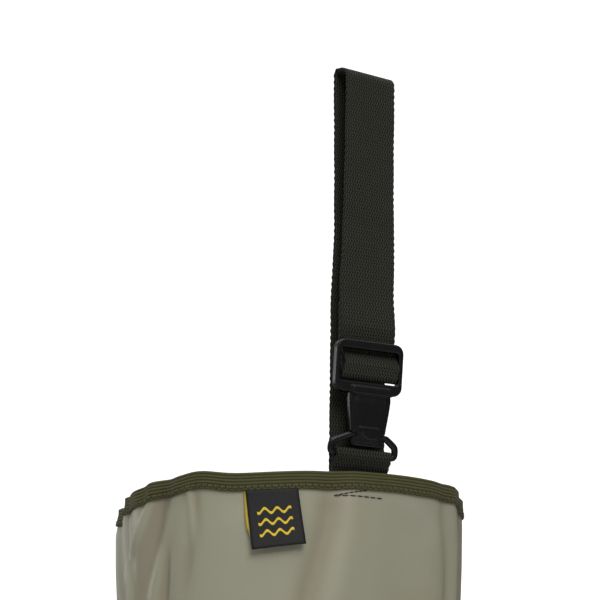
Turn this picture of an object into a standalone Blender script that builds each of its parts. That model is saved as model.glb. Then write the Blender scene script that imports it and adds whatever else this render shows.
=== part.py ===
"""Left hip wader: a moulded boot, a long leg of coated fabric, a bound rim and a buckled belt loop.

Metres, +Z up, +X towards the toe and +Y towards the outer side. The origin lies on the floor at the
middle of the heel's flat underside. A turn is an angle round the leg, 0 at the toe side and a quarter
turn at the outer side.
"""

import math
from bisect import bisect_right
from collections import namedtuple

import bmesh
import bpy
from mathutils import Matrix, Vector

# Room between pieces that touch
GAP = 0.0003

# Sole
SOLE_LENGTH = 0.300
BALL_WIDTH = 0.108
HEEL_WIDTH = 0.077
HEEL_LENGTH = 0.078
HEEL_HEIGHT = 0.029
FOREPART_HEIGHT = 0.019
TOE_SPRING = 0.009
HEEL_ROUND = 0.042
TOE_ROUND = 0.058
ARCH_RISE = 0.012
ARCH_LENGTH = 0.066
BREAST_LEAN = 0.003
WELT = 0.004
WELT_HEIGHT = 0.008
EDGE_BEVEL = 0.0012
TREAD_DEPTH = 0.005
GROOVE_WIDTH = 0.0065
GROOVE_PITCH = 0.0165
SPINE_WIDTH = 0.020
CHEVRON = math.radians(22)

# Boot and insole
BOOT_HEIGHT = 0.275
BOOT_WALL = 0.0026
CALF_WIDTH = 0.124
INSOLE_THICK = 0.004
INSOLE_ROOM = 0.0008

# Leg and its rim
RIM_HEIGHT = 0.820
RIM_TILT = 0.0065
COLLAR_LENGTH = 0.238
COLLAR_WIDTH = 0.184
COLLAR_MIDDLE = 0.040
LEG_WALL = 0.001
LEG_OVERLAP = 0.036
BINDING_DEPTH = 0.0115
BINDING_THICK = 0.0011

# Label
LABEL_TURN = math.radians(71)
LABEL_WIDTH = 0.034
LABEL_LENGTH = 0.039
LABEL_THICK = 0.0008
LABEL_LEAN = math.radians(7)
LABEL_LIFT = 0.0035

# Webbing: the strap and its anchor loop
STRAP_TURN = math.radians(101.5)
WEBBING_WIDTH = 0.040
WEBBING_THICK = 0.0015
WEBBING_STEP = 0.030
STITCH_DEPTH = 0.026
LOOP_HEIGHT = 0.281
LOOP_GAP = 0.0145
LOOP_TWIST = math.radians(-10)
LOOP_FRONT = 0.0105
TAIL_REACH = 0.022
BEND_RADIUS = 0.003

# Ring
RING_BAR = 0.004
RING_SIDE = 0.0052
RING_ROOM = 0.0005
RING_TOP_WIDTH = 0.0300
RING_HEIGHT = 0.0167
RING_LIFT = 0.0127
RING_LEAN = math.radians(14)
RING_SHOULDER_UP = 0.0070
RING_NARROW_UP = 0.0038
RING_NARROW_INSET = 0.0010
RING_GROWS_OVER = 0.0024

# Adjuster with its snap hook
BUCKLE_LEAN = math.radians(8.5)
HOOK_LENGTH = 0.0347
HOOK_BELOW_BAR = 0.007
HOOK_WIDTH = 0.0236
HOOK_TOP_WIDTH = 0.0304
# The hook and the ring's top bar lie this far from the frame's middle, towards the heel
HOOK_ASIDE = 0.0022
HOOK_THICK = 0.0072
HOOK_EDGE = 0.0032
HOOK_STEP = 0.0014
HOOK_CHAMFER = 0.0009
PLATE_IN_RAIL = 0.0026
LEDGE_BELOW = 0.0012
LEDGE_ABOVE = 0.0046
LEDGE_RISE = 0.0013
BAR_ROOM = 0.00035
PRESS_WIDTH = 0.0148
PRESS_HEIGHT = 0.0088
PRESS_RISE = 0.0017
PRESS_UP = 0.0052
PRESS_WALL = 0.0009
PRESS_TAPER = 0.86
FRAME_WIDTH = 0.0486
FRAME_HEIGHT = 0.0346
FRAME_THICK = 0.0058
FRAME_ROUND = 0.006
WINDOW_ROUND = 0.0018
TOP_RAIL = 0.0057
BOTTOM_RAIL = 0.0073
WINDOW_ROOM = 0.0010
BAR_HEIGHT = 0.004
BAR_THICK = 0.003
BAR_ABOVE_RAIL = 0.0051
CHAMFER = 0.0006

# How finely the round shapes are cut
FOOT_POINTS = 44
LEG_POINTS = 72
CORNER_STEPS = 4
SWEEP_SIDES = 8

# Sole outline: along is a share of the sole's length, ball says how far the width has grown from the
# heel's to the ball's, and outer and inner are the two sides' shares of that width
PlanRow = namedtuple("PlanRow", "along ball outer inner")
PLAN = (
    PlanRow(0.00, 0.00, 0.50, 0.50),
    PlanRow(0.15, 0.00, 0.50, 0.50),
    PlanRow(0.32, 0.00, 0.49, 0.45),
    PlanRow(0.46, 0.25, 0.50, 0.41),
    PlanRow(0.58, 0.70, 0.50, 0.44),
    PlanRow(0.70, 1.00, 0.49, 0.51),
    PlanRow(0.82, 0.97, 0.45, 0.54),
    PlanRow(0.92, 0.84, 0.40, 0.54),
    PlanRow(1.00, 0.68, 0.35, 0.53),
)

# Boot levels: rise is a share of the way from the sole to the boot's top, back and front are how far
# the ends draw in and nose how long the front end's rounding is, all shares of the sole's length,
# width is a share of the outline's width, calf a share of the calf's, and foot blends between the two
BootRow = namedtuple("BootRow", "rise back front width nose calf foot")
BOOT = (
    BootRow(0.000, 0.000, 0.000, 1.00, 0.190, 0.80, 1.00),
    BootRow(0.035, -0.004, -0.005, 1.02, 0.190, 0.80, 1.00),
    BootRow(0.085, -0.006, -0.002, 1.03, 0.195, 0.80, 1.00),
    BootRow(0.130, -0.005, 0.016, 1.01, 0.210, 0.80, 1.00),
    BootRow(0.168, -0.001, 0.050, 0.98, 0.235, 0.82, 1.00),
    BootRow(0.198, 0.004, 0.098, 0.96, 0.260, 0.82, 0.95),
    BootRow(0.222, 0.008, 0.150, 0.95, 0.285, 0.81, 0.86),
    BootRow(0.248, 0.012, 0.210, 0.95, 0.310, 0.80, 0.76),
    BootRow(0.278, 0.017, 0.270, 0.95, 0.330, 0.79, 0.62),
    BootRow(0.316, 0.022, 0.330, 0.94, 0.340, 0.78, 0.45),
    BootRow(0.362, 0.026, 0.385, 0.92, 0.340, 0.79, 0.27),
    BootRow(0.420, 0.028, 0.430, 0.90, 0.330, 0.82, 0.12),
    BootRow(0.495, 0.026, 0.465, 0.88, 0.320, 0.86, 0.04),
    BootRow(0.590, 0.019, 0.485, 0.82, 0.320, 0.91, 0.00),
    BootRow(0.700, 0.010, 0.493, 0.82, 0.320, 0.96, 0.00),
    BootRow(0.840, 0.004, 0.496, 0.82, 0.320, 1.00, 0.00),
    BootRow(1.000, 0.004, 0.496, 0.82, 0.320, 1.00, 0.00),
)

# Leg levels: rise is a share of the way from the boot's top to the rim, long and wide say how far the
# oval has grown from the boot's top to the collar
LegRow = namedtuple("LegRow", "rise long wide")
LEG = (
    LegRow(0.00, 0.00, 0.00),
    LegRow(0.05, 0.02, 0.03),
    LegRow(0.14, 0.11, 0.14),
    LegRow(0.26, 0.27, 0.32),
    LegRow(0.38, 0.44, 0.48),
    LegRow(0.50, 0.60, 0.63),
    LegRow(0.62, 0.74, 0.76),
    LegRow(0.74, 0.85, 0.86),
    LegRow(0.84, 0.93, 0.93),
    LegRow(0.92, 0.98, 0.98),
    LegRow(0.97, 1.00, 1.00),
    LegRow(1.00, 1.00, 1.00),
)

# Folds of the leg: turn and width in degrees, depth a share of the collar's length and positive
# outwards, low and high the shares of the leg's rise between which the fold dies away
FoldRow = namedtuple("FoldRow", "turn width depth low high drift")
FOLDS = (
    FoldRow(-4, 9, 0.016, 0.55, 1.30, 0),
    FoldRow(9, 8, -0.010, 0.60, 1.30, 6),
    FoldRow(19, 8, 0.010, 0.50, 1.30, 8),
    FoldRow(30, 10, -0.008, 0.45, 1.20, 10),
    FoldRow(43, 12, 0.006, 0.40, 0.99, 12),
    FoldRow(112, 16, -0.010, 0.60, 0.97, 10),
    FoldRow(160, 10, -0.007, 0.60, 1.30, -6),
    FoldRow(176, 9, 0.012, 0.50, 1.30, 0),
    FoldRow(215, 18, -0.010, 0.45, 1.00, 8),
    FoldRow(262, 20, -0.012, 0.50, 0.98, -8),
    FoldRow(318, 16, -0.010, 0.45, 1.00, 6),
    FoldRow(28, 26, -0.020, 0.05, 0.32, 0),
    FoldRow(150, 24, -0.016, 0.03, 0.30, 0),
    FoldRow(75, 22, 0.010, 0.10, 0.42, 0),
    FoldRow(235, 26, -0.018, 0.04, 0.33, 0),
    FoldRow(300, 24, -0.014, 0.08, 0.38, 0),
)


def clamp(value, low, high):
    return max(low, min(high, value))


def blend(low, high, share):
    return low + (high - low) * share


def ease(low, high, value):
    """A soft step from 0 at low to 1 at high."""
    share = clamp((value - low) / (high - low), 0.0, 1.0)
    return share * share * (3.0 - 2.0 * share)


def read_table(rows, column, at):
    """A column's value at a place along the table's first column, joined smoothly without overshoot."""
    keys = [row[0] for row in rows]
    values = [getattr(row, column) for row in rows]
    last = len(rows) - 1
    slot = int(clamp(bisect_right(keys, at) - 1, 0, last - 1))
    pitch = [keys[i + 1] - keys[i] for i in range(last)]
    rate = [(values[i + 1] - values[i]) / pitch[i] for i in range(last)]

    def slope(i):
        if i in (0, last):
            return rate[0] if i == 0 else rate[-1]
        if rate[i - 1] * rate[i] <= 0.0:
            return 0.0
        return 2.0 * rate[i - 1] * rate[i] / (rate[i - 1] + rate[i])

    u = clamp((at - keys[slot]) / pitch[slot], 0.0, 1.0)
    rise = u * u * (3.0 - 2.0 * u)
    lead = u * (1.0 - u) ** 2 * pitch[slot] * slope(slot)
    lag = u * u * (u - 1.0) * pitch[slot] * slope(slot + 1)
    return blend(values[slot], values[slot + 1], rise) + lead + lag


def ring_turns(count):
    return [math.tau * i / count for i in range(count)]


# Sole shape

SOLE_BACK = -HEEL_LENGTH / 2
SOLE_FRONT = SOLE_BACK + SOLE_LENGTH
SPRING_START = 0.70
TOP_FALL = (0.24, 0.56)


def along_sole(x):
    return clamp((x - SOLE_BACK) / SOLE_LENGTH, 0.0, 1.0)


def toe_lift(x):
    """How far the toe's upward curve lifts the sole at x."""
    return TOE_SPRING * clamp((along_sole(x) - SPRING_START) / (1.0 - SPRING_START), 0.0, 1.0) ** 2


def sole_top(x):
    fall = ease(*TOP_FALL, along_sole(x))
    return blend(HEEL_HEIGHT, FOREPART_HEIGHT, fall) + toe_lift(x)


def end_round(reach, length):
    """Share of the full width at a distance from a rounded end."""
    open_share = 1.0 - clamp(reach / length, 0.0, 1.0)
    return math.sqrt(1.0 - open_share * open_share)


def foot_outline(turn, back, front, inset, width, nose):
    """A point of a foot-shaped outline between two ends: returns x, the middle line's y and the half width."""
    x = (back + front) / 2 + (front - back) / 2 * math.cos(turn)
    along = along_sole(x)
    full = blend(HEEL_WIDTH, BALL_WIDTH, read_table(PLAN, "ball", along))
    outer = full * read_table(PLAN, "outer", along)
    inner = full * read_table(PLAN, "inner", along)
    ends = end_round(x - back, HEEL_ROUND) * end_round(front - x, nose)
    return x, (outer - inner) / 2, ((outer + inner) / 2 - inset) * width * ends


def plan_point(turn, inset):
    """A point of the sole's outline, drawn in by inset all round."""
    x, middle, half = foot_outline(turn, SOLE_BACK + inset, SOLE_FRONT - inset, inset, 1.0, TOE_ROUND)
    side = math.copysign(1.0, math.sin(turn)) if abs(math.sin(turn)) > 1e-9 else 0.0
    return x, middle + side * half


# Boot and leg shapes

Oval = namedtuple("Oval", "middle long wide")


def boot_ends(rise):
    back = SOLE_BACK + WELT + SOLE_LENGTH * read_table(BOOT, "back", rise)
    front = SOLE_FRONT - WELT - SOLE_LENGTH * read_table(BOOT, "front", rise)
    return back, front


def boot_point(turn, rise):
    """A point of the boot's outer skin."""
    back, front = boot_ends(rise)
    nose = SOLE_LENGTH * read_table(BOOT, "nose", rise) + (TOE_ROUND - SOLE_LENGTH * BOOT[0].nose)
    x, middle, half = foot_outline(turn, back, front, WELT, read_table(BOOT, "width", rise), nose)
    foot = read_table(BOOT, "foot", rise)
    side = math.copysign(1.0, math.sin(turn)) if abs(math.sin(turn)) > 1e-9 else 0.0
    calf = CALF_WIDTH / 2 * read_table(BOOT, "calf", rise) * abs(math.sin(turn))
    y = foot * middle + side * blend(calf, half, foot)
    return Vector((x, y, blend(sole_top(x) + GAP, BOOT_HEIGHT, rise)))


def calf_oval():
    back, front = boot_ends(1.0)
    return Oval((back + front) / 2, (front - back) / 2, CALF_WIDTH / 2)


def rim_height(turn):
    """The rim dips a little at the toe side and rises at the heel side."""
    return RIM_HEIGHT - RIM_TILT * math.cos(turn)


def fold_height(turn, rise):
    """How far the leg's folds push its skin out at a place."""
    total = 0.0
    for fold in FOLDS:
        centre = fold.turn + fold.drift * (1.0 - rise)
        away = (math.degrees(turn) - centre + 180.0) % 360.0 - 180.0
        middle = (fold.low + fold.high) / 2
        along = ease(fold.low, middle, rise) * (1.0 - ease(middle, fold.high, rise))
        total += fold.depth * COLLAR_LENGTH * along * math.exp(-(away / fold.width) ** 2 * 2.0)
    return total


def leg_point(turn, rise, outset):
    """A point of the leg's skin; outset 0 is the outer face and -LEG_WALL the inner one."""
    calf = calf_oval()
    long_share = read_table(LEG, "long", rise)
    wide_share = read_table(LEG, "wide", rise)
    middle = blend(calf.middle, COLLAR_MIDDLE, long_share)
    half_long = blend(calf.long, COLLAR_LENGTH / 2, long_share)
    half_wide = blend(calf.wide, COLLAR_WIDTH / 2, wide_share)
    normal = Vector((math.cos(turn) / half_long, math.sin(turn) / half_wide, 0.0)).normalized()
    over_boot = (GAP + LEG_WALL) * (1.0 - long_share)
    base = Vector((middle + half_long * math.cos(turn), half_wide * math.sin(turn), 0.0))
    point = base + normal * (over_boot + fold_height(turn, rise) + outset)
    point.z = blend(BOOT_HEIGHT, rim_height(turn), rise)
    return point


def below_rim(turn, drop, outset):
    """A point of the leg's skin at a distance below its rim."""
    rise = 1.0 - max(drop, 0.0) / (rim_height(turn) - BOOT_HEIGHT)
    point = leg_point(turn, rise, outset)
    point.z = rim_height(turn) - drop
    return point


# Meshes and materials

Finish = namedtuple("Finish", "colour roughness")
FINISHES = {
    "sole_rubber": Finish((0.040, 0.046, 0.036), 0.62),
    "boot_pvc": Finish((0.085, 0.095, 0.060), 0.45),
    "insole_felt": Finish((0.120, 0.120, 0.110), 0.90),
    "coated_fabric": Finish((0.270, 0.265, 0.200), 0.42),
    "binding_tape": Finish((0.072, 0.075, 0.030), 0.80),
    "label_weave": Finish((0.018, 0.018, 0.018), 0.70),
    "webbing": Finish((0.022, 0.023, 0.018), 0.85),
    "black_plastic": Finish((0.014, 0.014, 0.015), 0.38),
}


def finish(name):
    if name in bpy.data.materials:
        return bpy.data.materials[name]
    material = bpy.data.materials.new(name)
    material.use_nodes = True
    shader = material.node_tree.nodes["Principled BSDF"]
    shader.inputs["Base Color"].default_value = (*FINISHES[name].colour, 1.0)
    shader.inputs["Roughness"].default_value = FINISHES[name].roughness
    shader.inputs["Metallic"].default_value = 0.0
    return material


def add_object(name, mesh_data, finish_name):
    """Turn a bmesh into a scene object with smooth shading and sharp edges kept."""
    bmesh.ops.recalc_face_normals(mesh_data, faces=mesh_data.faces)
    mesh = bpy.data.meshes.new(name)
    mesh_data.to_mesh(mesh)
    mesh_data.free()
    mesh.materials.append(finish(finish_name))
    mesh.shade_smooth()
    mesh.set_sharp_from_angle(angle=math.radians(38))
    made = bpy.data.objects.new(name, mesh)
    bpy.context.scene.collection.objects.link(made)
    return made


def add_rings(mesh_data, rings, closed):
    """Join rings of equal length with quads; closed also joins the last ring to the first."""
    loops = [[mesh_data.verts.new(point) for point in ring] for ring in rings]
    pairs = list(zip(loops, loops[1:]))
    if closed:
        pairs.append((loops[-1], loops[0]))
    for low, high in pairs:
        for i, corner in enumerate(low):
            j = (i + 1) % len(low)
            mesh_data.faces.new((corner, low[j], high[j], high[i]))
    return loops


def cap_across(mesh_data, loop):
    """Close a loop whose two sides face each other with quads from side to side."""
    count = len(loop)
    for i in range(count // 2):
        corners = [loop[i], loop[i + 1], loop[count - i - 1], loop[(count - i) % count]]
        distinct = list(dict.fromkeys(corners))
        mesh_data.faces.new(distinct)


def ring_band(name, rings, finish_name):
    """A closed band: its rings run once round the cross-section."""
    mesh_data = bmesh.new()
    add_rings(mesh_data, rings, closed=True)
    return add_object(name, mesh_data, finish_name)


def stacked(name, rings, finish_name):
    """A solid between two flat or curved ends, from rings of the foot outline."""
    mesh_data = bmesh.new()
    loops = add_rings(mesh_data, rings, closed=False)
    cap_across(mesh_data, loops[0])
    cap_across(mesh_data, loops[-1])
    return add_object(name, mesh_data, finish_name)


def prism(mesh_data, low_corners, high_corners):
    """A solid between two flat polygons of equal length."""
    low, high = add_rings(mesh_data, [low_corners, high_corners], closed=False)
    mesh_data.faces.new(low)
    mesh_data.faces.new(high)


def use_as_tool(tool):
    """Mark an object as a guide that only shapes another."""
    tool.hide_render = True
    tool.display_type = "WIRE"


def combine(target, tool, operation):
    use_as_tool(tool)
    step = target.modifiers.new(tool.name, "BOOLEAN")
    step.operation = operation
    step.solver = "EXACT"
    step.object = tool


# Outsole

def outsole_ring(inset, height_at):
    points = [plan_point(turn, inset) for turn in ring_turns(FOOT_POINTS)]
    return [Vector((x, y, height_at(x))) for x, y in points]


def arch_cutter():
    """The hollow between the heel's breast and the forepart, cut from side to side."""
    start = HEEL_LENGTH / 2
    reach = BALL_WIDTH
    steps = 2 * CORNER_STEPS
    profile = [(start, -ARCH_RISE)]
    for i in range(steps + 1):
        share = i / steps
        x = start + BREAST_LEAN + (ARCH_LENGTH - BREAST_LEAN) * share
        profile.append((x, ARCH_RISE * math.cos(math.pi / 2 * share) ** 0.75 if i < steps else 0.0))
    profile.append((start + ARCH_LENGTH + BREAST_LEAN, -ARCH_RISE))
    mesh_data = bmesh.new()
    sides = [[Vector((x, y, z)) for x, z in profile] for y in (-reach, reach)]
    prism(mesh_data, *sides)
    return add_object("arch_cutter", mesh_data, "sole_rubber")


def groove(mesh_data, x, side):
    """One slanted groove from the middle spine out past the sole's edge."""
    reach = BALL_WIDTH
    start = SPINE_WIDTH / 2
    slant = math.tan(CHEVRON)
    half = GROOVE_WIDTH / 2
    top = toe_lift(x) + TREAD_DEPTH
    corners = []
    for y, dx in ((start, -half), (start, half), (reach, half), (reach, -half)):
        corners.append((x + dx - (y - start) * slant, side * y))
    low = [Vector((cx, cy, -TREAD_DEPTH)) for cx, cy in corners]
    high = [Vector((cx, cy, top)) for cx, cy in corners]
    prism(mesh_data, low, high)


def tread_cutter():
    """The grooves of heel and forepart; what they leave are the lugs."""
    mesh_data = bmesh.new()
    fore_start = HEEL_LENGTH / 2 + ARCH_LENGTH + GROOVE_PITCH * 1.1
    fore_count = int((SOLE_FRONT - 0.6 * GROOVE_PITCH - fore_start) / GROOVE_PITCH) + 1
    heel_count = int(HEEL_LENGTH * 0.7 / GROOVE_PITCH)
    places = [fore_start + GROOVE_PITCH * i for i in range(fore_count)]
    places += [GROOVE_PITCH * (i - (heel_count - 1) / 2) for i in range(heel_count)]
    for x in places:
        groove(mesh_data, x, 1.0)
        groove(mesh_data, x, -1.0)
    return add_object("tread_cutter", mesh_data, "sole_rubber")


def build_outsole():
    tread_inset = WELT * 0.45

    def ledge(x):
        return sole_top(x) - WELT_HEIGHT

    rings = [
        outsole_ring(tread_inset + EDGE_BEVEL, toe_lift),
        outsole_ring(tread_inset, lambda x: toe_lift(x) + EDGE_BEVEL),
        outsole_ring(tread_inset, ledge),
        outsole_ring(0.0, lambda x: ledge(x) + EDGE_BEVEL),
        outsole_ring(0.0, lambda x: sole_top(x) - EDGE_BEVEL),
        outsole_ring(EDGE_BEVEL, sole_top),
    ]
    sole = stacked("outsole", rings, "sole_rubber")
    combine(sole, arch_cutter(), "DIFFERENCE")
    combine(sole, tread_cutter(), "DIFFERENCE")


# Upper and insole

def build_boot():
    mesh_data = bmesh.new()
    levels = sorted({row.rise for row in BOOT} | {0.06, 0.92})
    rings = [[boot_point(turn, rise) for turn in ring_turns(FOOT_POINTS)] for rise in levels]
    add_rings(mesh_data, rings, closed=False)
    boot = add_object("boot", mesh_data, "boot_pvc")
    wall = boot.modifiers.new("wall", "SOLIDIFY")
    wall.thickness = BOOT_WALL
    wall.offset = -1.0
    wall.use_even_offset = True


def build_insole():
    inset = WELT + BOOT_WALL + INSOLE_ROOM

    def bottom(x):
        return sole_top(x) + GAP

    rings = [
        outsole_ring(inset, bottom),
        outsole_ring(inset, lambda x: bottom(x) + INSOLE_THICK - EDGE_BEVEL),
        outsole_ring(inset + EDGE_BEVEL, lambda x: bottom(x) + INSOLE_THICK),
    ]
    stacked("insole", rings, "insole_felt")


# Leg, binding and label

def build_leg():
    turns = ring_turns(LEG_POINTS)
    levels = [row.rise for row in LEG]

    def foot_ring(outset):
        ring = [leg_point(turn, 0.0, outset) for turn in turns]
        return [Vector((p.x, p.y, BOOT_HEIGHT - LEG_OVERLAP)) for p in ring]

    outer = [foot_ring(0.0)] + [[leg_point(turn, rise, 0.0) for turn in turns] for rise in levels]
    inner = [foot_ring(-LEG_WALL)] + [[leg_point(turn, rise, -LEG_WALL) for turn in turns] for rise in levels]
    ring_band("leg", outer + inner[::-1], "coated_fabric")


def build_binding():
    """A tape folded over the rim: an outer and an inner flap with a rounded top."""
    face = GAP
    skin = GAP + BINDING_THICK
    inner = -LEG_WALL
    section = (
        (face, BINDING_DEPTH),
        (skin, BINDING_DEPTH),
        (skin, 0.0),
        (skin - BINDING_THICK * 0.45, -skin * 0.8),
        (inner / 2, -skin - GAP),
        (inner - skin + BINDING_THICK * 0.45, -skin * 0.8),
        (inner - skin, 0.0),
        (inner - skin, BINDING_DEPTH),
        (inner - face, BINDING_DEPTH),
        (inner - face, -face),
        (face, -face),
    )
    turns = ring_turns(LEG_POINTS)
    rings = [[below_rim(turn, drop, outset) for turn in turns] for outset, drop in section]
    ring_band("collar_binding", rings, "binding_tape")


def label_point(across, down, outset):
    """A point of the label: across from -0.5 to 0.5 of its width, down from 0 to 1 of its length."""
    arc_rate = math.hypot(COLLAR_LENGTH / 2 * math.sin(LABEL_TURN), COLLAR_WIDTH / 2 * math.cos(LABEL_TURN))
    aside = across * LABEL_WIDTH + math.tan(LABEL_LEAN) * down * LABEL_LENGTH
    lift = LABEL_LIFT * down * down
    drop = BINDING_DEPTH + GAP + down * LABEL_LENGTH
    return below_rim(LABEL_TURN + aside / arc_rate, drop, GAP + lift + outset)


def build_label():
    steps = 7
    mesh_data = bmesh.new()
    shares = [i / steps for i in range(steps + 1)]
    rings = []
    for down in shares:
        front = [label_point(share - 0.5, down, LABEL_THICK) for share in shares]
        back = [label_point(share - 0.5, down, 0.0) for share in reversed(shares)]
        rings.append(front + back)
    loops = add_rings(mesh_data, rings, closed=False)
    for loop in (loops[0], loops[-1]):
        for i in range(steps):
            mesh_data.faces.new((loop[i], loop[i + 1], loop[-i - 2], loop[-i - 1]))
    add_object("label", mesh_data, "label_weave")


# Strap frame: its origin is the rim's top in the middle of the wall, across runs level along the wall
# towards the heel, out points away from the leg and up is vertical

def strap_axes():
    inside = -LEG_WALL / 2
    origin = below_rim(STRAP_TURN, 0.0, inside)
    step = math.radians(1.0)
    run = below_rim(STRAP_TURN + step, 0.0, inside) - below_rim(STRAP_TURN - step, 0.0, inside)
    across = Vector((run.x, run.y, 0.0)).normalized()
    up = Vector((0.0, 0.0, 1.0))
    return origin, across, across.cross(up), up


STRAP_ORIGIN, STRAP_ACROSS, STRAP_OUT, STRAP_UP = strap_axes()


def strap_place(across, out, up, twist=0.0):
    """World place of a point of the strap's frame, turned about the loop's upright middle line."""
    pivot = LOOP_FRONT - LOOP_GAP / 2
    turned_across = across * math.cos(twist) - (out - pivot) * math.sin(twist)
    turned_out = pivot + across * math.sin(twist) + (out - pivot) * math.cos(twist)
    return STRAP_ORIGIN + STRAP_ACROSS * turned_across + STRAP_OUT * turned_out + STRAP_UP * up


def wall_seat():
    """The furthest in that the binding's inner face comes behind the webbing's width."""
    reach = []
    steps = 12
    half_turn = WEBBING_WIDTH / COLLAR_WIDTH
    for i in range(steps + 1):
        turn = STRAP_TURN + half_turn * (2.0 * i / steps - 1.0)
        for drop in (0.0, BINDING_DEPTH, STITCH_DEPTH):
            point = below_rim(turn, drop, -LEG_WALL - GAP - BINDING_THICK) - STRAP_ORIGIN
            if abs(point.dot(STRAP_ACROSS)) < WEBBING_WIDTH * 0.56:
                reach.append(point.dot(STRAP_OUT))
    return min(reach)


def buckle_place(out, up):
    """Place in the strap's frame of a point of the buckle's own tilted frame, 0 at the ring's top bar."""
    bar_out = math.sin(RING_LEAN) * (RING_HEIGHT - RING_BAR)
    bar_up = RING_LIFT + math.cos(RING_LEAN) * (RING_HEIGHT - RING_BAR)
    lean_cos = math.cos(BUCKLE_LEAN)
    lean_sin = math.sin(BUCKLE_LEAN)
    return bar_out + out * lean_cos + up * lean_sin, bar_up + up * lean_cos - out * lean_sin


def rounded(points):
    """A path through points of (out, up, radius) with an arc at each corner."""
    path = [Vector(points[0][:2])]
    for before, corner, after in zip(points, points[1:], points[2:]):
        here = Vector(corner[:2])
        back = Vector(before[:2]) - here
        ahead = Vector(after[:2]) - here
        half = math.acos(clamp(back.normalized().dot(ahead.normalized()), -1.0, 1.0)) / 2
        run = min(corner[2] / math.tan(half), back.length / 2, ahead.length / 2)
        radius = run * math.tan(half)
        if radius < GAP or math.pi / 2 - half < math.radians(1.0):
            path.append(here)
            continue
        bisector = (back.normalized() + ahead.normalized()).normalized()
        centre = here + bisector * (radius / math.sin(half))
        start = here + back.normalized() * run - centre
        end = here + ahead.normalized() * run - centre
        sweep = math.atan2(start.x * end.y - start.y * end.x, start.dot(end))
        steps = max(2, math.ceil(abs(sweep) / (math.pi / 2) * CORNER_STEPS))
        for i in range(steps + 1):
            angle = sweep * i / steps
            turned = Matrix.Rotation(angle, 2) @ start
            path.append(centre + turned)
    path.append(Vector(points[-1][:2]))
    return path


def divided(path):
    """The same path with its long runs cut into steps no longer than WEBBING_STEP."""
    fine = [path[0]]
    for before, here in zip(path, path[1:]):
        steps = math.ceil((here - before).length / WEBBING_STEP)
        fine += [before.lerp(here, (i + 1) / steps) for i in range(steps)]
    return fine


def split_alike(loops):
    """Cut both broad faces of each step along the same diagonal, so a twisted band keeps its thickness."""
    for low, high in zip(loops, loops[1:]):
        for start, end in ((low[0], high[1]), (low[3], high[2])):
            shared = set(start.link_faces) & set(end.link_faces)
            bmesh.utils.face_split(shared.pop(), start, end)


def build_webbing(name, points, twist_at):
    """A flat band of webbing along a path of the strap's frame."""
    path = divided(rounded(points))
    half_width = WEBBING_WIDTH / 2
    half_thick = WEBBING_THICK / 2
    mesh_data = bmesh.new()
    rings = []
    for i, here in enumerate(path):
        back = (here - path[i - 1]).normalized() if i else (path[1] - here).normalized()
        ahead = (path[i + 1] - here).normalized() if i < len(path) - 1 else back
        run = (back + ahead).normalized()
        stretch = 1.0 / max(run.dot(back), 0.5)
        side = Vector((-run.y, run.x)) * half_thick * stretch
        ring = []
        for across, offset in ((-half_width, side), (half_width, side), (half_width, -side), (-half_width, -side)):
            place = here + offset
            ring.append(strap_place(across, place.x, place.y, twist_at(place.y)))
        rings.append(ring)
    loops = add_rings(mesh_data, rings, closed=False)
    split_alike(loops)
    mesh_data.faces.new(loops[0])
    mesh_data.faces.new(loops[-1])
    add_object(name, mesh_data, "webbing")


def layer_out(layer):
    """Middle of a webbing layer sewn inside the rim; layer 0 lies against the binding."""
    return wall_seat() - GAP - WEBBING_THICK / 2 - layer * (WEBBING_THICK + GAP)


FRAME_LOW = HOOK_LENGTH - HOOK_BELOW_BAR
WINDOW_LOW = FRAME_LOW + BOTTOM_RAIL
WINDOW_HIGH = FRAME_LOW + FRAME_HEIGHT - TOP_RAIL
BAR_UP = WINDOW_LOW + BAR_ABOVE_RAIL
WRAP = BAR_THICK / 2 + WEBBING_THICK / 2 + GAP * 2
BEHIND_RAIL = FRAME_THICK / 2 + WEBBING_THICK / 2 + GAP
LAYER = WEBBING_THICK + GAP


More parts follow.
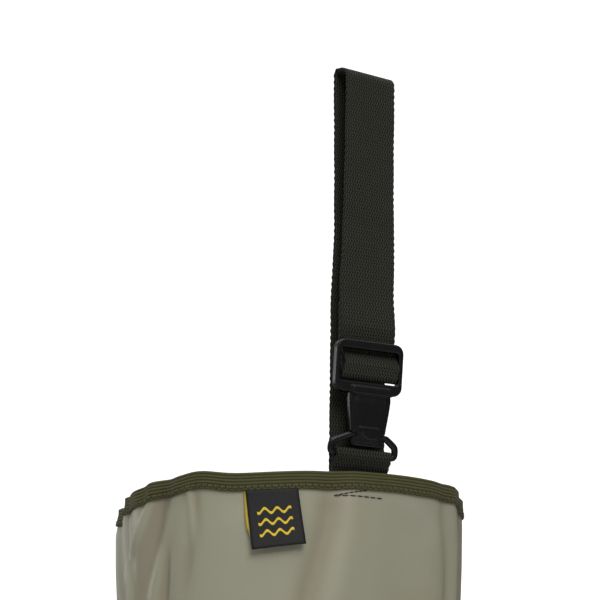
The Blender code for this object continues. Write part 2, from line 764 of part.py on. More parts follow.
def build_strap():
    bend = BEND_RADIUS
    back_low = layer_out(2)
    back_high = LOOP_FRONT - LOOP_GAP
    fold = LOOP_GAP / 2
    top = LOOP_HEIGHT - WEBBING_THICK / 2
    rail_high = FRAME_LOW + FRAME_HEIGHT
    wrap_low = BAR_UP - BAR_HEIGHT / 2 - GAP - WEBBING_THICK / 2
    step_low = buckle_place(-BEHIND_RAIL, rail_high + GAP)
    kink = Vector(buckle_place(-BEHIND_RAIL, rail_high + TAIL_REACH * 0.45))
    settle = Vector((LOOP_FRONT, buckle_place(0.0, rail_high)[1] + TAIL_REACH * 1.35))
    lean = (settle - kink).normalized()
    across_lean = Vector((-lean.y, lean.x)) * LAYER
    tail_end = kink + lean * TAIL_REACH * 0.75 + across_lean
    tail_kink = kink + Vector((-LAYER, LAYER * 0.25))

    def in_buckle(out, up, radius):
        return (*buckle_place(out, up), radius)

    points = [
        (back_low, -STITCH_DEPTH - WEBBING_THICK, 0.0),
        (back_low, RING_LIFT, bend * 4),
        (back_high, LOOP_HEIGHT / 2, bend * 8),
        (back_high, top, fold),
        (LOOP_FRONT, top, fold),
        (LOOP_FRONT, settle.y, bend * 3),
        (kink.x, kink.y, bend * 3),
        in_buckle(-BEHIND_RAIL, WINDOW_HIGH - WEBBING_THICK, bend),
        in_buckle(WRAP, WINDOW_HIGH - WEBBING_THICK - 2 * BEHIND_RAIL, bend),
        in_buckle(WRAP, wrap_low, WRAP),
        in_buckle(-WRAP, wrap_low, WRAP),
        in_buckle(-WRAP, BAR_UP + BAR_HEIGHT / 2, bend),
        in_buckle(-BEHIND_RAIL - LAYER, WINDOW_HIGH - 2 * WEBBING_THICK - GAP, bend),
        (tail_kink.x, tail_kink.y, bend * 3),
        (tail_end.x, tail_end.y, 0.0),
    ]
    turn_low = settle.y

    def twist_at(up):
        return LOOP_TWIST * ease(turn_low * 0.8, LOOP_HEIGHT * 0.8, up)

    build_webbing("strap", points, twist_at)


def build_anchor_loop():
    """Two layers sewn inside the rim that open round the ring's lower bar."""
    wrap = RING_BAR / 2 + GAP + WEBBING_THICK / 2
    top = RING_LIFT + wrap
    low = -STITCH_DEPTH
    rim_top = GAP * 2 + BINDING_THICK + WEBBING_THICK / 2
    points = [
        (layer_out(0), low, 0.0),
        (layer_out(0), rim_top, BEND_RADIUS),
        (wrap, RING_LIFT - wrap * 0.55, BEND_RADIUS),
        (wrap, top, wrap),
        (-wrap, top, wrap),
        (-wrap, RING_LIFT - wrap * 0.55, BEND_RADIUS),
        (layer_out(1), rim_top, BEND_RADIUS),
        (layer_out(1), low, 0.0),
    ]
    build_webbing("anchor_loop", points, lambda up: 0.0)


# Ring

def build_ring():
    """A closed bar, round in the hook and the anchor loop and broader at its sides and shoulders."""
    low_half = WEBBING_WIDTH / 2 + RING_ROOM + RING_SIDE / 2
    top_half = (RING_TOP_WIDTH - RING_BAR) / 2
    tall = RING_HEIGHT - RING_BAR
    corner = RING_SIDE / 2
    shoulder = RING_BAR
    outline = [
        (0.0, 0.0, 0.0),
        (low_half, 0.0, corner),
        (low_half, RING_SHOULDER_UP, shoulder),
        (HOOK_ASIDE + top_half, tall, shoulder),
        (HOOK_ASIDE - top_half, tall, shoulder),
        (-low_half, RING_SHOULDER_UP, shoulder),
        (-low_half, 0.0, corner),
        (0.0, 0.0, 0.0),
    ]
    path = rounded(outline)[:-1]
    mesh_data = bmesh.new()
    rings = []
    count = len(path)
    for i, here in enumerate(path):
        back = (here - path[i - 1]).normalized()
        ahead = (path[(i + 1) % count] - here).normalized()
        run = (back + ahead).normalized()
        side = Vector((-run.y, run.x)) / max(run.dot(back), 0.5)
        if here.y > RING_NARROW_UP:
            past = abs(here.x - HOOK_ASIDE) - top_half + RING_NARROW_INSET
        else:
            past = abs(here.x) - WEBBING_WIDTH / 2
        broad = blend(RING_BAR, RING_SIDE, ease(0.0, RING_GROWS_OVER, past))
        ring = []
        for turn in ring_turns(SWEEP_SIDES):
            angle = turn + math.pi / SWEEP_SIDES
            spot = here + side * (broad / 2 * math.cos(angle))
            depth = RING_BAR / 2 * math.sin(angle)
            out = math.sin(RING_LEAN) * spot.y + math.cos(RING_LEAN) * depth
            up = RING_LIFT + math.cos(RING_LEAN) * spot.y - math.sin(RING_LEAN) * depth
            ring.append(strap_place(spot.x, out, up))
        rings.append(ring)
    add_rings(mesh_data, rings, closed=True)
    add_object("hook_ring", mesh_data, "black_plastic")


# Adjuster with its snap hook

def buckle_point(across, out, up):
    placed_out, placed_up = buckle_place(out, up)
    return strap_place(across, placed_out, placed_up)


def rounded_rectangle(width, low, high, radius):
    """Corner points of a rounded rectangle centred across, as (across, up) pairs."""
    points = []
    half = width / 2
    corners = (
        (half - radius, low + radius, -math.pi / 2),
        (half - radius, high - radius, 0.0),
        (-half + radius, high - radius, math.pi / 2),
        (-half + radius, low + radius, math.pi),
    )
    for across, up, start in corners:
        for i in range(CORNER_STEPS + 1):
            angle = start + math.pi / 2 * i / CORNER_STEPS
            points.append((across + radius * math.cos(angle), up + radius * math.sin(angle)))
    return points


def build_frame():
    window_width = WEBBING_WIDTH + 2 * WINDOW_ROOM
    half = FRAME_THICK / 2

    def outer(inset, out):
        outline = rounded_rectangle(
            FRAME_WIDTH - 2 * inset, FRAME_LOW + inset, FRAME_LOW + FRAME_HEIGHT - inset, FRAME_ROUND - inset)
        return [buckle_point(across, out, up) for across, up in outline]

    def inner(outset, out):
        outline = rounded_rectangle(
            window_width + 2 * outset, WINDOW_LOW - outset, WINDOW_HIGH + outset, WINDOW_ROUND + outset)
        return [buckle_point(across, out, up) for across, up in outline]

    rings = [
        outer(CHAMFER, -half),
        outer(0.0, -half + CHAMFER),
        outer(0.0, half - CHAMFER),
        outer(CHAMFER, half),
        inner(CHAMFER, half),
        inner(0.0, half - CHAMFER),
        inner(0.0, -half + CHAMFER),
        inner(CHAMFER, -half),
    ]
    return ring_band("snap_adjuster", rings, "black_plastic")


def buckle_prism(name, sections):
    """A solid through sections of (across, out, up) corners in the buckle's frame."""
    mesh_data = bmesh.new()
    rings = [[buckle_point(*corner) for corner in section] for section in sections]
    loops = add_rings(mesh_data, rings, closed=False)
    mesh_data.faces.new(loops[0])
    mesh_data.faces.new(loops[-1])
    return add_object(name, mesh_data, "black_plastic")


def chamfered(half_width, low_out, high_out, up, chamfer):
    """A chamfered rectangle across the buckle, at one height."""
    return [
        (-half_width + chamfer, low_out, up),
        (half_width - chamfer, low_out, up),
        (half_width, low_out + chamfer, up),
        (half_width, high_out - chamfer, up),
        (half_width - chamfer, high_out, up),
        (-half_width + chamfer, high_out, up),
        (-half_width, high_out - chamfer, up),
        (-half_width, low_out + chamfer, up),
    ]


def centre_bar():
    half_height = BAR_HEIGHT / 2
    half_thick = BAR_THICK / 2
    reach = (FRAME_WIDTH + WEBBING_WIDTH) / 4
    section = []
    for out, up in ((-1, -1), (1, -1), (1, 1), (-1, 1)):
        straight = (out * half_thick, up * (half_height - CHAMFER))
        across_it = (out * (half_thick - CHAMFER), up * half_height)
        pair = (straight, across_it) if out * up > 0 else (across_it, straight)
        section += [(o, BAR_UP + u) for o, u in pair]
    ends = [[(side * reach, o, u) for o, u in section] for side in (-1, 1)]
    return buckle_prism("centre_bar", ends)


def hook_half_width(up):
    """The hook narrows from its top to a waist and stays straight below it."""
    share = ease(-HOOK_BELOW_BAR, FRAME_LOW, up)
    return blend(HOOK_WIDTH, HOOK_TOP_WIDTH, share) / 2


def hook_body(name, edge, low_out, high_out, low_up, high_up):
    sections = []
    steps = 6
    for i in range(steps + 1):
        up = blend(low_up, high_up, i / steps)
        drawn_in = CHAMFER if i in (0, steps) else 0.0
        half = hook_half_width(up) - edge
        corners = chamfered(half - drawn_in, low_out + drawn_in, high_out - drawn_in, up, HOOK_CHAMFER)
        sections.append([(HOOK_ASIDE + across, out, level) for across, out, level in corners])
    return buckle_prism(name, sections)


def hook_ledge():
    """A bar across the top of the hook, in front of the frame's lower rail."""
    high_out = HOOK_THICK / 2 + LEDGE_RISE
    return hook_body("hook_ledge", CHAMFER, 0.0, high_out, FRAME_LOW - LEDGE_BELOW, FRAME_LOW + LEDGE_ABOVE)


def thumb_press():
    """A D-shaped pad, straight at its top and round below."""
    radius = PRESS_WIDTH / 2
    face = HOOK_THICK / 2
    outline = [(-radius, 0.0)]
    steps = 2 * CORNER_STEPS
    for i in range(1, steps):
        angle = math.pi + math.pi * i / steps
        outline.append((radius * math.cos(angle), PRESS_HEIGHT * math.sin(angle)))
    outline.append((radius, 0.0))
    sections = []
    for out, draw in ((face - HOOK_STEP, 1.0), (face + PRESS_WALL, 1.0), (face + PRESS_RISE, PRESS_TAPER)):
        sections.append([(HOOK_ASIDE + across * draw, out, PRESS_UP + up * draw) for across, up in outline])
    return buckle_prism("thumb_press", sections)


def ring_hole():
    """The eye that the ring's top bar passes through, from side to side of the hook."""
    radius = RING_BAR / 2 + BAR_ROOM
    ends = []
    for side in (-1, 1):
        points = []
        for turn in ring_turns(2 * SWEEP_SIDES):
            points.append((side * HOOK_TOP_WIDTH, radius * math.cos(turn), radius * math.sin(turn)))
        ends.append(points)
    return buckle_prism("ring_hole", ends)


def build_snap_adjuster():
    half = HOOK_THICK / 2
    buckle = build_frame()
    low = -HOOK_BELOW_BAR
    plate = hook_body("hook_plate", 0.0, -half, half - HOOK_STEP, low, FRAME_LOW + PLATE_IN_RAIL)
    panel = hook_body("hook_panel", HOOK_EDGE, 0.0, half, low + HOOK_STEP, FRAME_LOW - CHAMFER)
    combine(buckle, centre_bar(), "UNION")
    combine(buckle, plate, "UNION")
    combine(buckle, panel, "UNION")
    combine(buckle, hook_ledge(), "UNION")
    combine(buckle, thumb_press(), "UNION")
    combine(buckle, ring_hole(), "DIFFERENCE")


def clear_scene():
    for old in list(bpy.data.objects):
        bpy.data.objects.remove(old)


def main():
    clear_scene()
    build_outsole()
    build_boot()
    build_insole()
    build_leg()
    build_binding()
    build_label()
    build_strap()
    build_anchor_loop()
    build_ring()
    build_snap_adjuster()


main()
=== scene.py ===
"""Looks of a left hip wader: coated fabric leg, bound rim, webbing belt loop, buckle and moulded boot."""

import math

import bmesh
import bpy
import numpy as np
from bpy.props import FloatProperty, FloatVectorProperty, PointerProperty
from bpy.types import Operator, Panel, PropertyGroup
from mathutils import Matrix, Vector
from mathutils.bvhtree import BVHTree


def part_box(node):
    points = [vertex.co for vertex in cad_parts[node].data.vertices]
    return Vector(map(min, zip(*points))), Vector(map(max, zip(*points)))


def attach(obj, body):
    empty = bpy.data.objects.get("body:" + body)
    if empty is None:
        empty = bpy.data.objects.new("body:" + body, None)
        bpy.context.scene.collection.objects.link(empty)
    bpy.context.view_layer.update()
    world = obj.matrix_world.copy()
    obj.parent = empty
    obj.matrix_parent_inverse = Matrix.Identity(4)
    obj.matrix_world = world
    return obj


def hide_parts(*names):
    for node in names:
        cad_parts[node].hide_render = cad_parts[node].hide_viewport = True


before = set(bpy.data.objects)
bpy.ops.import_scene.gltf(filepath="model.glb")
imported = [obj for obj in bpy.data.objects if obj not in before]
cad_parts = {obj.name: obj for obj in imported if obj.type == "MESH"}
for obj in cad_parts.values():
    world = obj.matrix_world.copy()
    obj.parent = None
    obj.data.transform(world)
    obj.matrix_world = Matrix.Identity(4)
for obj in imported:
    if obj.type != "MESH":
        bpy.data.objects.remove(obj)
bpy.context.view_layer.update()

bl_info = {
    "name": "Hip Wader",
    "version": (1, 0, 0),
    "blender": (4, 5, 0),
    "location": "3D View > Sidebar > Hip Wader",
    "description": "Builds the visible surfaces of a hip wader over its solid parts",
    "category": "Object",
}

BOOT_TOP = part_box("boot")[1][2]
UP = Vector((0.0, 0.0, 1.0))
# Clearance between pieces that lie on each other, and the distance within which points are merged
GAP = 0.0003
MERGE = 0.00001


def length_property(name, description, default):
    return FloatProperty(name=name, description=description, default=default, unit="LENGTH")


def angle_property(name, description, degrees):
    return FloatProperty(name=name, description=description, default=math.radians(degrees), subtype="ANGLE")


def colour_property(name, description, default):
    return FloatVectorProperty(
        name=name, description=description, default=default, subtype="COLOR", min=0.0, max=1.0)


class WaderLegSettings(PropertyGroup):
    """Sizes and colours of the fabric leg."""

    rim_height: length_property("Rim height", "Height of the rim's middle above the floor", 0.820)
    rim_tilt: length_property(
        "Rim tilt", "How much the rim falls at the toe side and rises at the heel side", 0.0065)
    collar_length: length_property("Collar length", "Outer length of the rim's oval, toe to heel", 0.238)
    collar_width: length_property("Collar width", "Outer width of the rim's oval", 0.184)
    collar_middle: length_property("Collar middle", "Place of the oval's middle towards the toe", 0.040)
    wall: length_property("Wall", "Thickness of the coated fabric", 0.001)
    colour: colour_property("Fabric colour", "Main colour of the coated fabric", (0.290, 0.283, 0.205))
    warm_colour: colour_property(
        "Warm patches", "Colour of the fabric's warmer, lighter patches", (0.315, 0.275, 0.205))
    cool_colour: colour_property(
        "Green patches", "Colour of the fabric's greener, darker patches", (0.235, 0.247, 0.175))
    # The ridge colour is a painted highlight where the creases' ridges catch the light; the trough colour is
    # painted shade in their troughs.
    ridge_highlight_colour: colour_property(
        "Ridge colour", "Colour of the creases' rubbed ridges", (0.345, 0.340, 0.295))
    trough_shade_colour: colour_property("Trough colour", "Colour in the creases' troughs", (0.240, 0.215, 0.150))


class WaderTrimSettings(PropertyGroup):
    """Sizes and colours of binding, label and stitches."""

    binding_depth: length_property(
        "Binding depth", "How far the folded tape reaches down from the rim", 0.0115)
    binding_thick: length_property("Binding thickness", "Thickness of the folded tape", 0.0011)
    binding_colour: colour_property(
        "Binding colour", "Lit colour of the ribbed tape", (0.074, 0.071, 0.024))
    label_turn: angle_property("Label place", "Turn of the label round the rim from the toe side", 71.9)
    label_width: length_property("Label width", "Width of the woven label", 0.034)
    label_length: length_property("Label length", "Length of the woven label below the binding", 0.0382)
    label_lean: angle_property("Label lean", "How far the label's lower end swings aside", 7.0)
    label_colour: colour_property(
        "Label yellow", "Colour of the label's woven waves and back layer", (0.76, 0.53, 0.03))


class WaderStrapSettings(PropertyGroup):
    """Sizes and colour of the webbing."""

    turn: angle_property("Strap place", "Turn of the strap round the rim from the toe side", 101.5)
    width: length_property("Webbing width", "Width of the webbing", 0.040)
    thick: length_property("Webbing thickness", "Thickness of the webbing", 0.0015)
    colour: colour_property("Webbing colour", "Lit colour of the webbing's yarn", (0.031, 0.031, 0.022))
    weave_pitch: length_property(
        "Weave pitch", "Distance between the weave's strands across the webbing", 0.0020)
    weave_row: length_property(
        "Weave row", "Height of one row of slanted strokes along the webbing", 0.0022)


class WaderStageSettings(PropertyGroup):
    """Camera and light."""

    azimuth: angle_property("Azimuth", "Direction of the camera round the wader", 164.0)
    elevation: angle_property("Elevation", "Height angle of the camera; it looks up at the rim", -17.5)
    distance: length_property("Distance", "Camera's distance from the aimed point", 2.0)
    view_width: length_property("View width", "Width of the picture at the aimed point", 0.4154)
    aim_above_rim: length_property("Aim above rim", "Height of the aimed point above the rim", 0.1454)
    aim_aside: length_property(
        "Aim aside", "How far the aimed point lies to the right of the rim's middle", 0.0069)
    key_power: FloatProperty(
        name="Key light", description="Power that the soft lights round the wader share", default=15.0,
        unit="POWER")
    top_power: FloatProperty(
        name="Top light", description="Power of the wide light above", default=36.0, unit="POWER")
    sky: FloatProperty(
        name="Surrounding light", description="Strength of the even white light from all sides", default=0.14,
        min=0.0)


SETTINGS = {
    "wader_leg": WaderLegSettings,
    "wader_trim": WaderTrimSettings,
    "wader_strap": WaderStrapSettings,
    "wader_stage": WaderStageSettings,
}


# Shader graphs

class Value:
    """An output of a shader node; arithmetic on it adds Math nodes."""

    def __init__(self, graph, socket):
        self.graph = graph
        self.socket = socket

    def math(self, operation, *values):
        return self.graph.node("ShaderNodeMath", {"operation": operation}, dict(enumerate(values)))

    def __add__(self, other):
        return self.math("ADD", self, other)

    __radd__ = __add__

    def __mul__(self, other):
        return self.math("MULTIPLY", self, other)

    __rmul__ = __mul__

    def __abs__(self):
        return self.math("ABSOLUTE", self)

    def sine(self):
        return self.math("SINE", self)

    def zigzag(self, step):
        """Up and down between 0 and step."""
        return self.math("PINGPONG", self, step)

    def step(self, low, high):
        """A soft step from 0 at low to 1 at high."""
        settings = {"interpolation_type": "SMOOTHSTEP"}
        return self.graph.node("ShaderNodeMapRange", settings, {0: self, 1: low, 2: high, 3: 0.0, 4: 1.0})


class Graph:
    """The shader graph of one new material."""

    def __init__(self, name):
        self.material = bpy.data.materials.new(name)
        self.material.use_nodes = True
        self.tree = self.material.node_tree
        self.shader = self.tree.nodes["Principled BSDF"]

    def put(self, socket, value):
        if isinstance(value, Value):
            self.tree.links.new(value.socket, socket)
        elif hasattr(socket.default_value, "__len__"):
            filled = tuple(value) if hasattr(value, "__len__") else (value,) * 3
            socket.default_value = (filled + (1.0,))[:len(socket.default_value)]
        else:
            socket.default_value = value

    def node(self, kind, settings=None, inputs=None, output=0):
        """A node of a kind, with its settings first and then its sockets' values or links."""
        made = self.tree.nodes.new(kind)
        for key, value in (settings or {}).items():
            setattr(made, key, value)
        for key, value in (inputs or {}).items():
            self.put(made.inputs[key], value)
        return Value(self, made.outputs[output])

    def object_place(self):
        return self.node("ShaderNodeTexCoord", output=3)

    def surface_place(self):
        """The cloth's own length and width in metres, from its UV map."""
        return self.axes_of(self.node("ShaderNodeUVMap"))[:2]

    def axes_of(self, place):
        split = self.node("ShaderNodeSeparateXYZ", inputs={0: place})
        return [Value(self, out) for out in split.socket.node.outputs]

    def noise(self, place, scale, detail=3.0, roughness=0.5):
        inputs = {"Vector": place, "Scale": scale, "Detail": detail, "Roughness": roughness}
        return self.node("ShaderNodeTexNoise", inputs=inputs)

    def stretched(self, place, scale):
        return self.node("ShaderNodeMapping", inputs={"Vector": place, "Scale": scale})

    def mix(self, low, high, share):
        """A colour between two colours."""
        settings = {"data_type": "RGBA", "clamp_factor": True}
        return self.node("ShaderNodeMix", settings, {0: share, 6: low, 7: high}, output=2)

    def bump(self, height, strength, distance, below=None):
        inputs = {"Height": height, "Strength": strength, "Distance": distance}
        if below is not None:
            inputs["Normal"] = below
        return self.node("ShaderNodeBump", inputs=inputs)

    def finish(self, **inputs):
        """Set the shader's own sockets, named in small letters."""
        for key, value in inputs.items():
            name = key.replace("_", " ").title().replace("Ior", "IOR")
            self.put(self.shader.inputs[name], value)
        return self.material


def shaded(colour, factor):
    """A colour made darker or lighter."""
    return tuple(channel * factor for channel in colour)


def coated_fabric(settings):
    """Satin green-grey coating with soft warm and green clouds, a faint woven grain, and painted highlight on
    the creases' ridges and painted shade in their troughs.
    """
    graph = Graph("coated_fabric")
    place = graph.object_place()
    clouds = graph.noise(place, 5.5, 2.0)
    drift = graph.noise(graph.stretched(place, (1.0, 1.0, 0.45)), 13.0, 3.0)
    colour = graph.mix(tuple(settings.colour), tuple(settings.cool_colour), clouds.step(0.46, 0.72))
    colour = graph.mix(colour, tuple(settings.warm_colour), drift.step(0.50, 0.74) * 0.4)
    # The fold tint paints light and shade into the colour: lighter on crease ridges, darker in crease
    # troughs.
    fold = graph.node("ShaderNodeAttribute", {"attribute_name": "fold"}, output=2)
    colour = graph.mix(colour, tuple(settings.ridge_highlight_colour), fold.step(0.05, 1.0) * 0.7)
    colour = graph.mix(colour, tuple(settings.trough_shade_colour), (fold * -1.0).step(0.05, 1.0) * 0.8)
    fine = graph.noise(place, 900.0, 2.0, 0.6)
    grain = graph.noise(place, 190.0, 3.0)
    smear = graph.noise(graph.stretched(place, (1.0, 1.0, 0.25)), 30.0, 4.0)
    normal = graph.bump(fine, 0.10, 0.0003)
    normal = graph.bump(grain, 0.09, 0.0008, normal)
    return graph.finish(
        base_color=colour, roughness=0.44 + smear * 0.16, specular_ior_level=0.35,
        coat_weight=0.08, coat_roughness=0.4, normal=normal)


def boot_pvc():
    """Moulded olive green, slightly glossy, with rubbed patches and fine pitting."""
    graph = Graph("boot_pvc")
    place = graph.object_place()
    clouds = graph.noise(place, 16.0, 4.0)
    rubbed = graph.noise(place, 60.0, 6.0, 0.65).step(0.58, 0.78)
    height = graph.axes_of(place)[2]
    splash = (graph.noise(place, 34.0, 5.0) * 0.05 + height).step(0.085, 0.035)
    colour = graph.mix((0.052, 0.060, 0.030), (0.072, 0.078, 0.042), clouds)
    colour = graph.mix(colour, (0.105, 0.108, 0.070), rubbed * 0.45)
    colour = graph.mix(colour, (0.125, 0.115, 0.085), splash * 0.35)
    pits = graph.noise(place, 700.0, 2.0)
    waves = graph.noise(place, 45.0, 2.0)
    normal = graph.bump(pits, 0.12, 0.0003)
    normal = graph.bump(waves, 0.06, 0.002, normal)
    return graph.finish(
        base_color=colour, roughness=0.36 + clouds * 0.18 + splash * 0.2,
        coat_weight=0.15, coat_roughness=0.25, normal=normal)


def sole_rubber():
    """Near-black green rubber with a matt, dusty tread."""
    graph = Graph("sole_rubber")
    place = graph.object_place()
    dust = graph.noise(place, 42.0, 6.0, 0.6)
    low = graph.axes_of(place)[2].step(0.012, 0.001)
    colour = graph.mix((0.026, 0.030, 0.020), (0.040, 0.044, 0.030), dust)
    colour = graph.mix(colour, (0.120, 0.112, 0.090), low * dust.step(0.42, 0.75) * 0.6)
    grain = graph.noise(place, 420.0, 3.0)
    normal = graph.bump(grain, 0.22, 0.0005)
    return graph.finish(base_color=colour, roughness=0.55 + dust * 0.25, normal=normal)


def insole_felt():
    """Grey pressed felt."""
    graph = Graph("insole_felt")
    place = graph.object_place()
    fluff = graph.noise(place, 260.0, 6.0, 0.7)
    colour = graph.mix((0.070, 0.070, 0.064), (0.150, 0.148, 0.135), fluff)
    return graph.finish(base_color=colour, roughness=0.95, normal=graph.bump(fluff, 0.6, 0.0012))


def binding_tape(settings):
    """Olive elastic tape: fine ribs along it with painted shade in the grooves between them, tiny cross yarns
    and a light sheen.
    """
    graph = Graph("binding_tape")
    along, across = graph.surface_place()
    ribs = (across * (math.tau / 0.0021)).sine()
    yarns = (along * (math.tau / 0.0009)).sine()
    groove_shade_noise = graph.noise(graph.object_place(), 90.0, 4.0)
    # Painted shade: the tape is darker in the grooves between its ribs, more or less so by a noise.
    dark = shaded(settings.binding_colour, 0.42)
    light = tuple(settings.binding_colour)
    colour = graph.mix(dark, light, (ribs * 0.5 + 0.5).step(0.05, 0.75) * (0.7 + groove_shade_noise * 0.5))
    colour = graph.mix(colour, shaded(light, 1.3), (yarns * 0.5 + 0.5) * 0.22)
    normal = graph.bump(ribs, 0.75, 0.00035)
    normal = graph.bump(yarns, 0.25, 0.0002, normal)
    return graph.finish(
        base_color=colour, roughness=0.75, specular_ior_level=0.2, sheen_weight=0.06,
        sheen_roughness=0.5, normal=normal)


def webbing_weave(settings):
    """Herringbone webbing: strands that zigzag along it, with painted shade in the gaps where each row of
    slants turns and between the strands.
    """
    graph = Graph("webbing_weave")
    along, across = graph.surface_place()
    row = settings.weave_row
    share = along.zigzag(row) * (1.0 / row)
    wander = graph.noise(graph.object_place(), 70.0, 2.0)
    phase = across * (math.tau / settings.weave_pitch) + share * (math.tau * 0.80) + wander * 3.2
    stroke = (phase.sine() * 0.5 + 0.5).step(0.20, 0.80)
    body = (share * math.pi).sine().step(0.0, 0.60)
    fuzz = graph.noise(graph.object_place(), 900.0, 3.0)
    patch = graph.noise(graph.object_place(), 40.0, 3.0)
    # Painted light and shade: the strands' raised tops are lighter and the gaps between strands and rows
    # darker.
    dark = shaded(settings.colour, 0.12)
    light = shaded(settings.colour, 1.36)
    height = stroke * (body * 0.6 + 0.4)
    colour = graph.mix(dark, light, height * (0.60 + fuzz * 0.55) * (0.78 + patch * 0.44))
    normal = graph.bump(height, 0.9, 0.00045)
    return graph.finish(
        base_color=colour, roughness=0.82, specular_ior_level=0.18, sheen_weight=0.04,
        sheen_roughness=0.4, normal=normal)


def label_weave(settings):
    """Black satin label with three woven waves and a fine weft."""
    graph = Graph("label_weave")
    along, across = graph.surface_place()
    weft = (along * (math.tau / 0.0006)).sine()
    warp = (across * (math.tau / 0.0008)).sine()
    sway = (across * (math.tau / 0.0080)).sine() * 0.0016
    band = (along + sway + 1.0).zigzag(0.0037).step(0.0011, 0.0007)
    field = (along.step(0.0092, 0.0096) * along.step(0.0315, 0.0311)
             * abs(across).step(0.0112, 0.0108))
    motif = band * field
    thread = 0.82 + weft * 0.18
    black = graph.mix((0.007, 0.007, 0.008), (0.016, 0.016, 0.017), weft * 0.5 + 0.5)
    yellow = graph.mix(shaded(settings.label_colour, 0.6), tuple(settings.label_colour), thread)
    colour = graph.mix(black, yellow, motif)
    normal = graph.bump(weft + warp + motif * 2.5, 0.35, 0.00012)
    return graph.finish(base_color=colour, roughness=0.55, specular_ior_level=0.22, normal=normal)


def label_back(settings):
    """The label's folded yellow layer."""
    graph = Graph("label_back")
    along, across = graph.surface_place()
    weft = (along * (math.tau / 0.0007)).sine()
    dark = shaded(settings.label_colour, 0.45)
    light = shaded(settings.label_colour, 0.85)
    colour = graph.mix(dark, light, weft * 0.5 + 0.5)
    return graph.finish(base_color=colour, roughness=0.6, normal=graph.bump(weft, 0.4, 0.0002))


def thread(name, colour):
    """Twisted sewing thread."""
    graph = Graph(name)
    place = graph.object_place()
    strands = graph.noise(place, 1400.0, 2.0)
    shade = graph.mix(shaded(colour, 0.55), colour, strands)
    return graph.finish(base_color=shade, roughness=0.6, normal=graph.bump(strands, 0.5, 0.0002))


def black_plastic():
    """Moulded black plastic: satin, faintly mottled, with tiny handling marks."""
    graph = Graph("black_plastic")
    place = graph.object_place()
    mottle = graph.noise(place, 120.0, 4.0)
    marks = graph.noise(graph.stretched(place, (1.0, 1.0, 0.3)), 420.0, 4.0, 0.6)
    colour = graph.mix((0.0022, 0.0022, 0.0024), (0.0048, 0.0048, 0.0050), mottle)
    normal = graph.bump(graph.noise(place, 900.0, 2.0), 0.10, 0.0002)
    normal = graph.bump(marks, 0.06, 0.0004, normal)
    return graph.finish(
        base_color=colour, roughness=0.26 + marks * 0.20, specular_ior_level=0.26, normal=normal)


# Meshes

def merged_copy(node):
    """A CAD node's mesh with its loose triangles joined, as a bmesh."""
    mesh = bmesh.new()
    mesh.from_mesh(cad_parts[node].data)
    bmesh.ops.remove_doubles(mesh, verts=mesh.verts, dist=MERGE)
    bmesh.ops.join_triangles(
        mesh, faces=mesh.faces, cmp_seam=False, cmp_sharp=False, cmp_uvs=False, cmp_vcols=False,
        cmp_materials=False, angle_face_threshold=math.radians(40), angle_shape_threshold=math.radians(70))
    return mesh


def piece(name, mesh_data, material, replaced=()):
    """A finished object of the wader from a bmesh."""
    mesh = bpy.data.meshes.new(name)
    mesh_data.to_mesh(mesh)
    mesh_data.free()
    mesh.materials.clear()
    mesh.materials.append(material)
    mesh.shade_smooth()
    made = bpy.data.objects.new(name, mesh)
    bpy.context.scene.collection.objects.link(made)
    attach(made, "root")
    if replaced:
        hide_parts(*replaced)
    return made


def subdivide(target, levels):
    """Add a finished level of subdivision."""
    step = target.modifiers.new("smooth", "SUBSURF")
    step.levels = levels
    step.render_levels = levels
    return step


def apply_modifiers(target):
    depsgraph = bpy.context.evaluated_depsgraph_get()
    evaluated = bpy.data.meshes.new_from_object(target.evaluated_get(depsgraph))
    old = target.data
    target.modifiers.clear()
    target.data = evaluated
    bpy.data.meshes.remove(old)
    evaluated.name = target.name


def flat_strip(width, length, columns, rows):
    """A flat strip of cloth, x across from its middle and y along; its UVs are along and across in metres."""
    mesh = bmesh.new()
    uv = mesh.loops.layers.uv.new("UVMap")
    bmesh.ops.create_grid(mesh, x_segments=columns, y_segments=rows, size=0.5)
    bmesh.ops.translate(mesh, verts=mesh.verts, vec=(0.0, 0.5, 0.0))
    bmesh.ops.scale(mesh, verts=mesh.verts, vec=(width, length, 1.0))
    for face in mesh.faces:
        for loop in face.loops:
            loop[uv].uv = (loop.vert.co.y, loop.vert.co.x)
    return mesh


def edge_ring(first):
    """The edges met by going from face to face across one strip of quads."""
    ring = [first]
    loop = first.link_loops[0]
    while len(loop.face.verts) == 4:
        loop = loop.link_loop_next.link_loop_next
        if loop.edge == first:
            break
        ring.append(loop.edge)
        loop = loop.link_loop_radial_next
    return ring


def lay(mesh, place):
    """Move a flat strip's points to where place(across, along) puts them."""
    for vertex in mesh.verts:
        vertex.co = place(vertex.co.x, vertex.co.y)


def thicken(target, thickness):
    """Give a laid strip its thickness, half to each side."""
    step = target.modifiers.new("thickness", "SOLIDIFY")
    step.thickness = thickness
    step.offset = 0.0
    step.use_even_offset = True


def stitch(mesh, start, end, radius):
    """A short thread from start to end as a slim rounded grain."""
    run = end - start
    turned = run.to_track_quat("Z", "Y").to_matrix().to_4x4()
    sized = Matrix.Diagonal((radius, radius, run.length / 2 + radius * 0.6, 1.0))
    matrix = Matrix.Translation((start + end) / 2) @ turned @ sized
    bmesh.ops.create_uvsphere(mesh, u_segments=6, v_segments=6, radius=1.0, matrix=matrix)


# Places on the leg and its rim

# Where the stiff rim waves up or down: turn, width in degrees, and rise
RIM_WAVES = (
    (-2.0, 8.0, -0.0042),
    (12.0, 4.0, -0.0010),
    (30.0, 6.0, 0.0030),
    (46.0, 10.0, 0.0046),
    (214.0, 26.0, 0.0022),
    (300.0, 22.0, -0.0024),
)


def rim_wave(turn):
    total = 0.0
    for centre, width, rise in RIM_WAVES:
        away = (math.degrees(turn) - centre + 180.0) % 360.0 - 180.0
        total += rise * math.exp(-(away / width) ** 2)
    return total


def rim_at(turn):
    leg = bpy.context.scene.wader_leg
    return leg.rim_height - leg.rim_tilt * math.cos(turn) + rim_wave(turn)


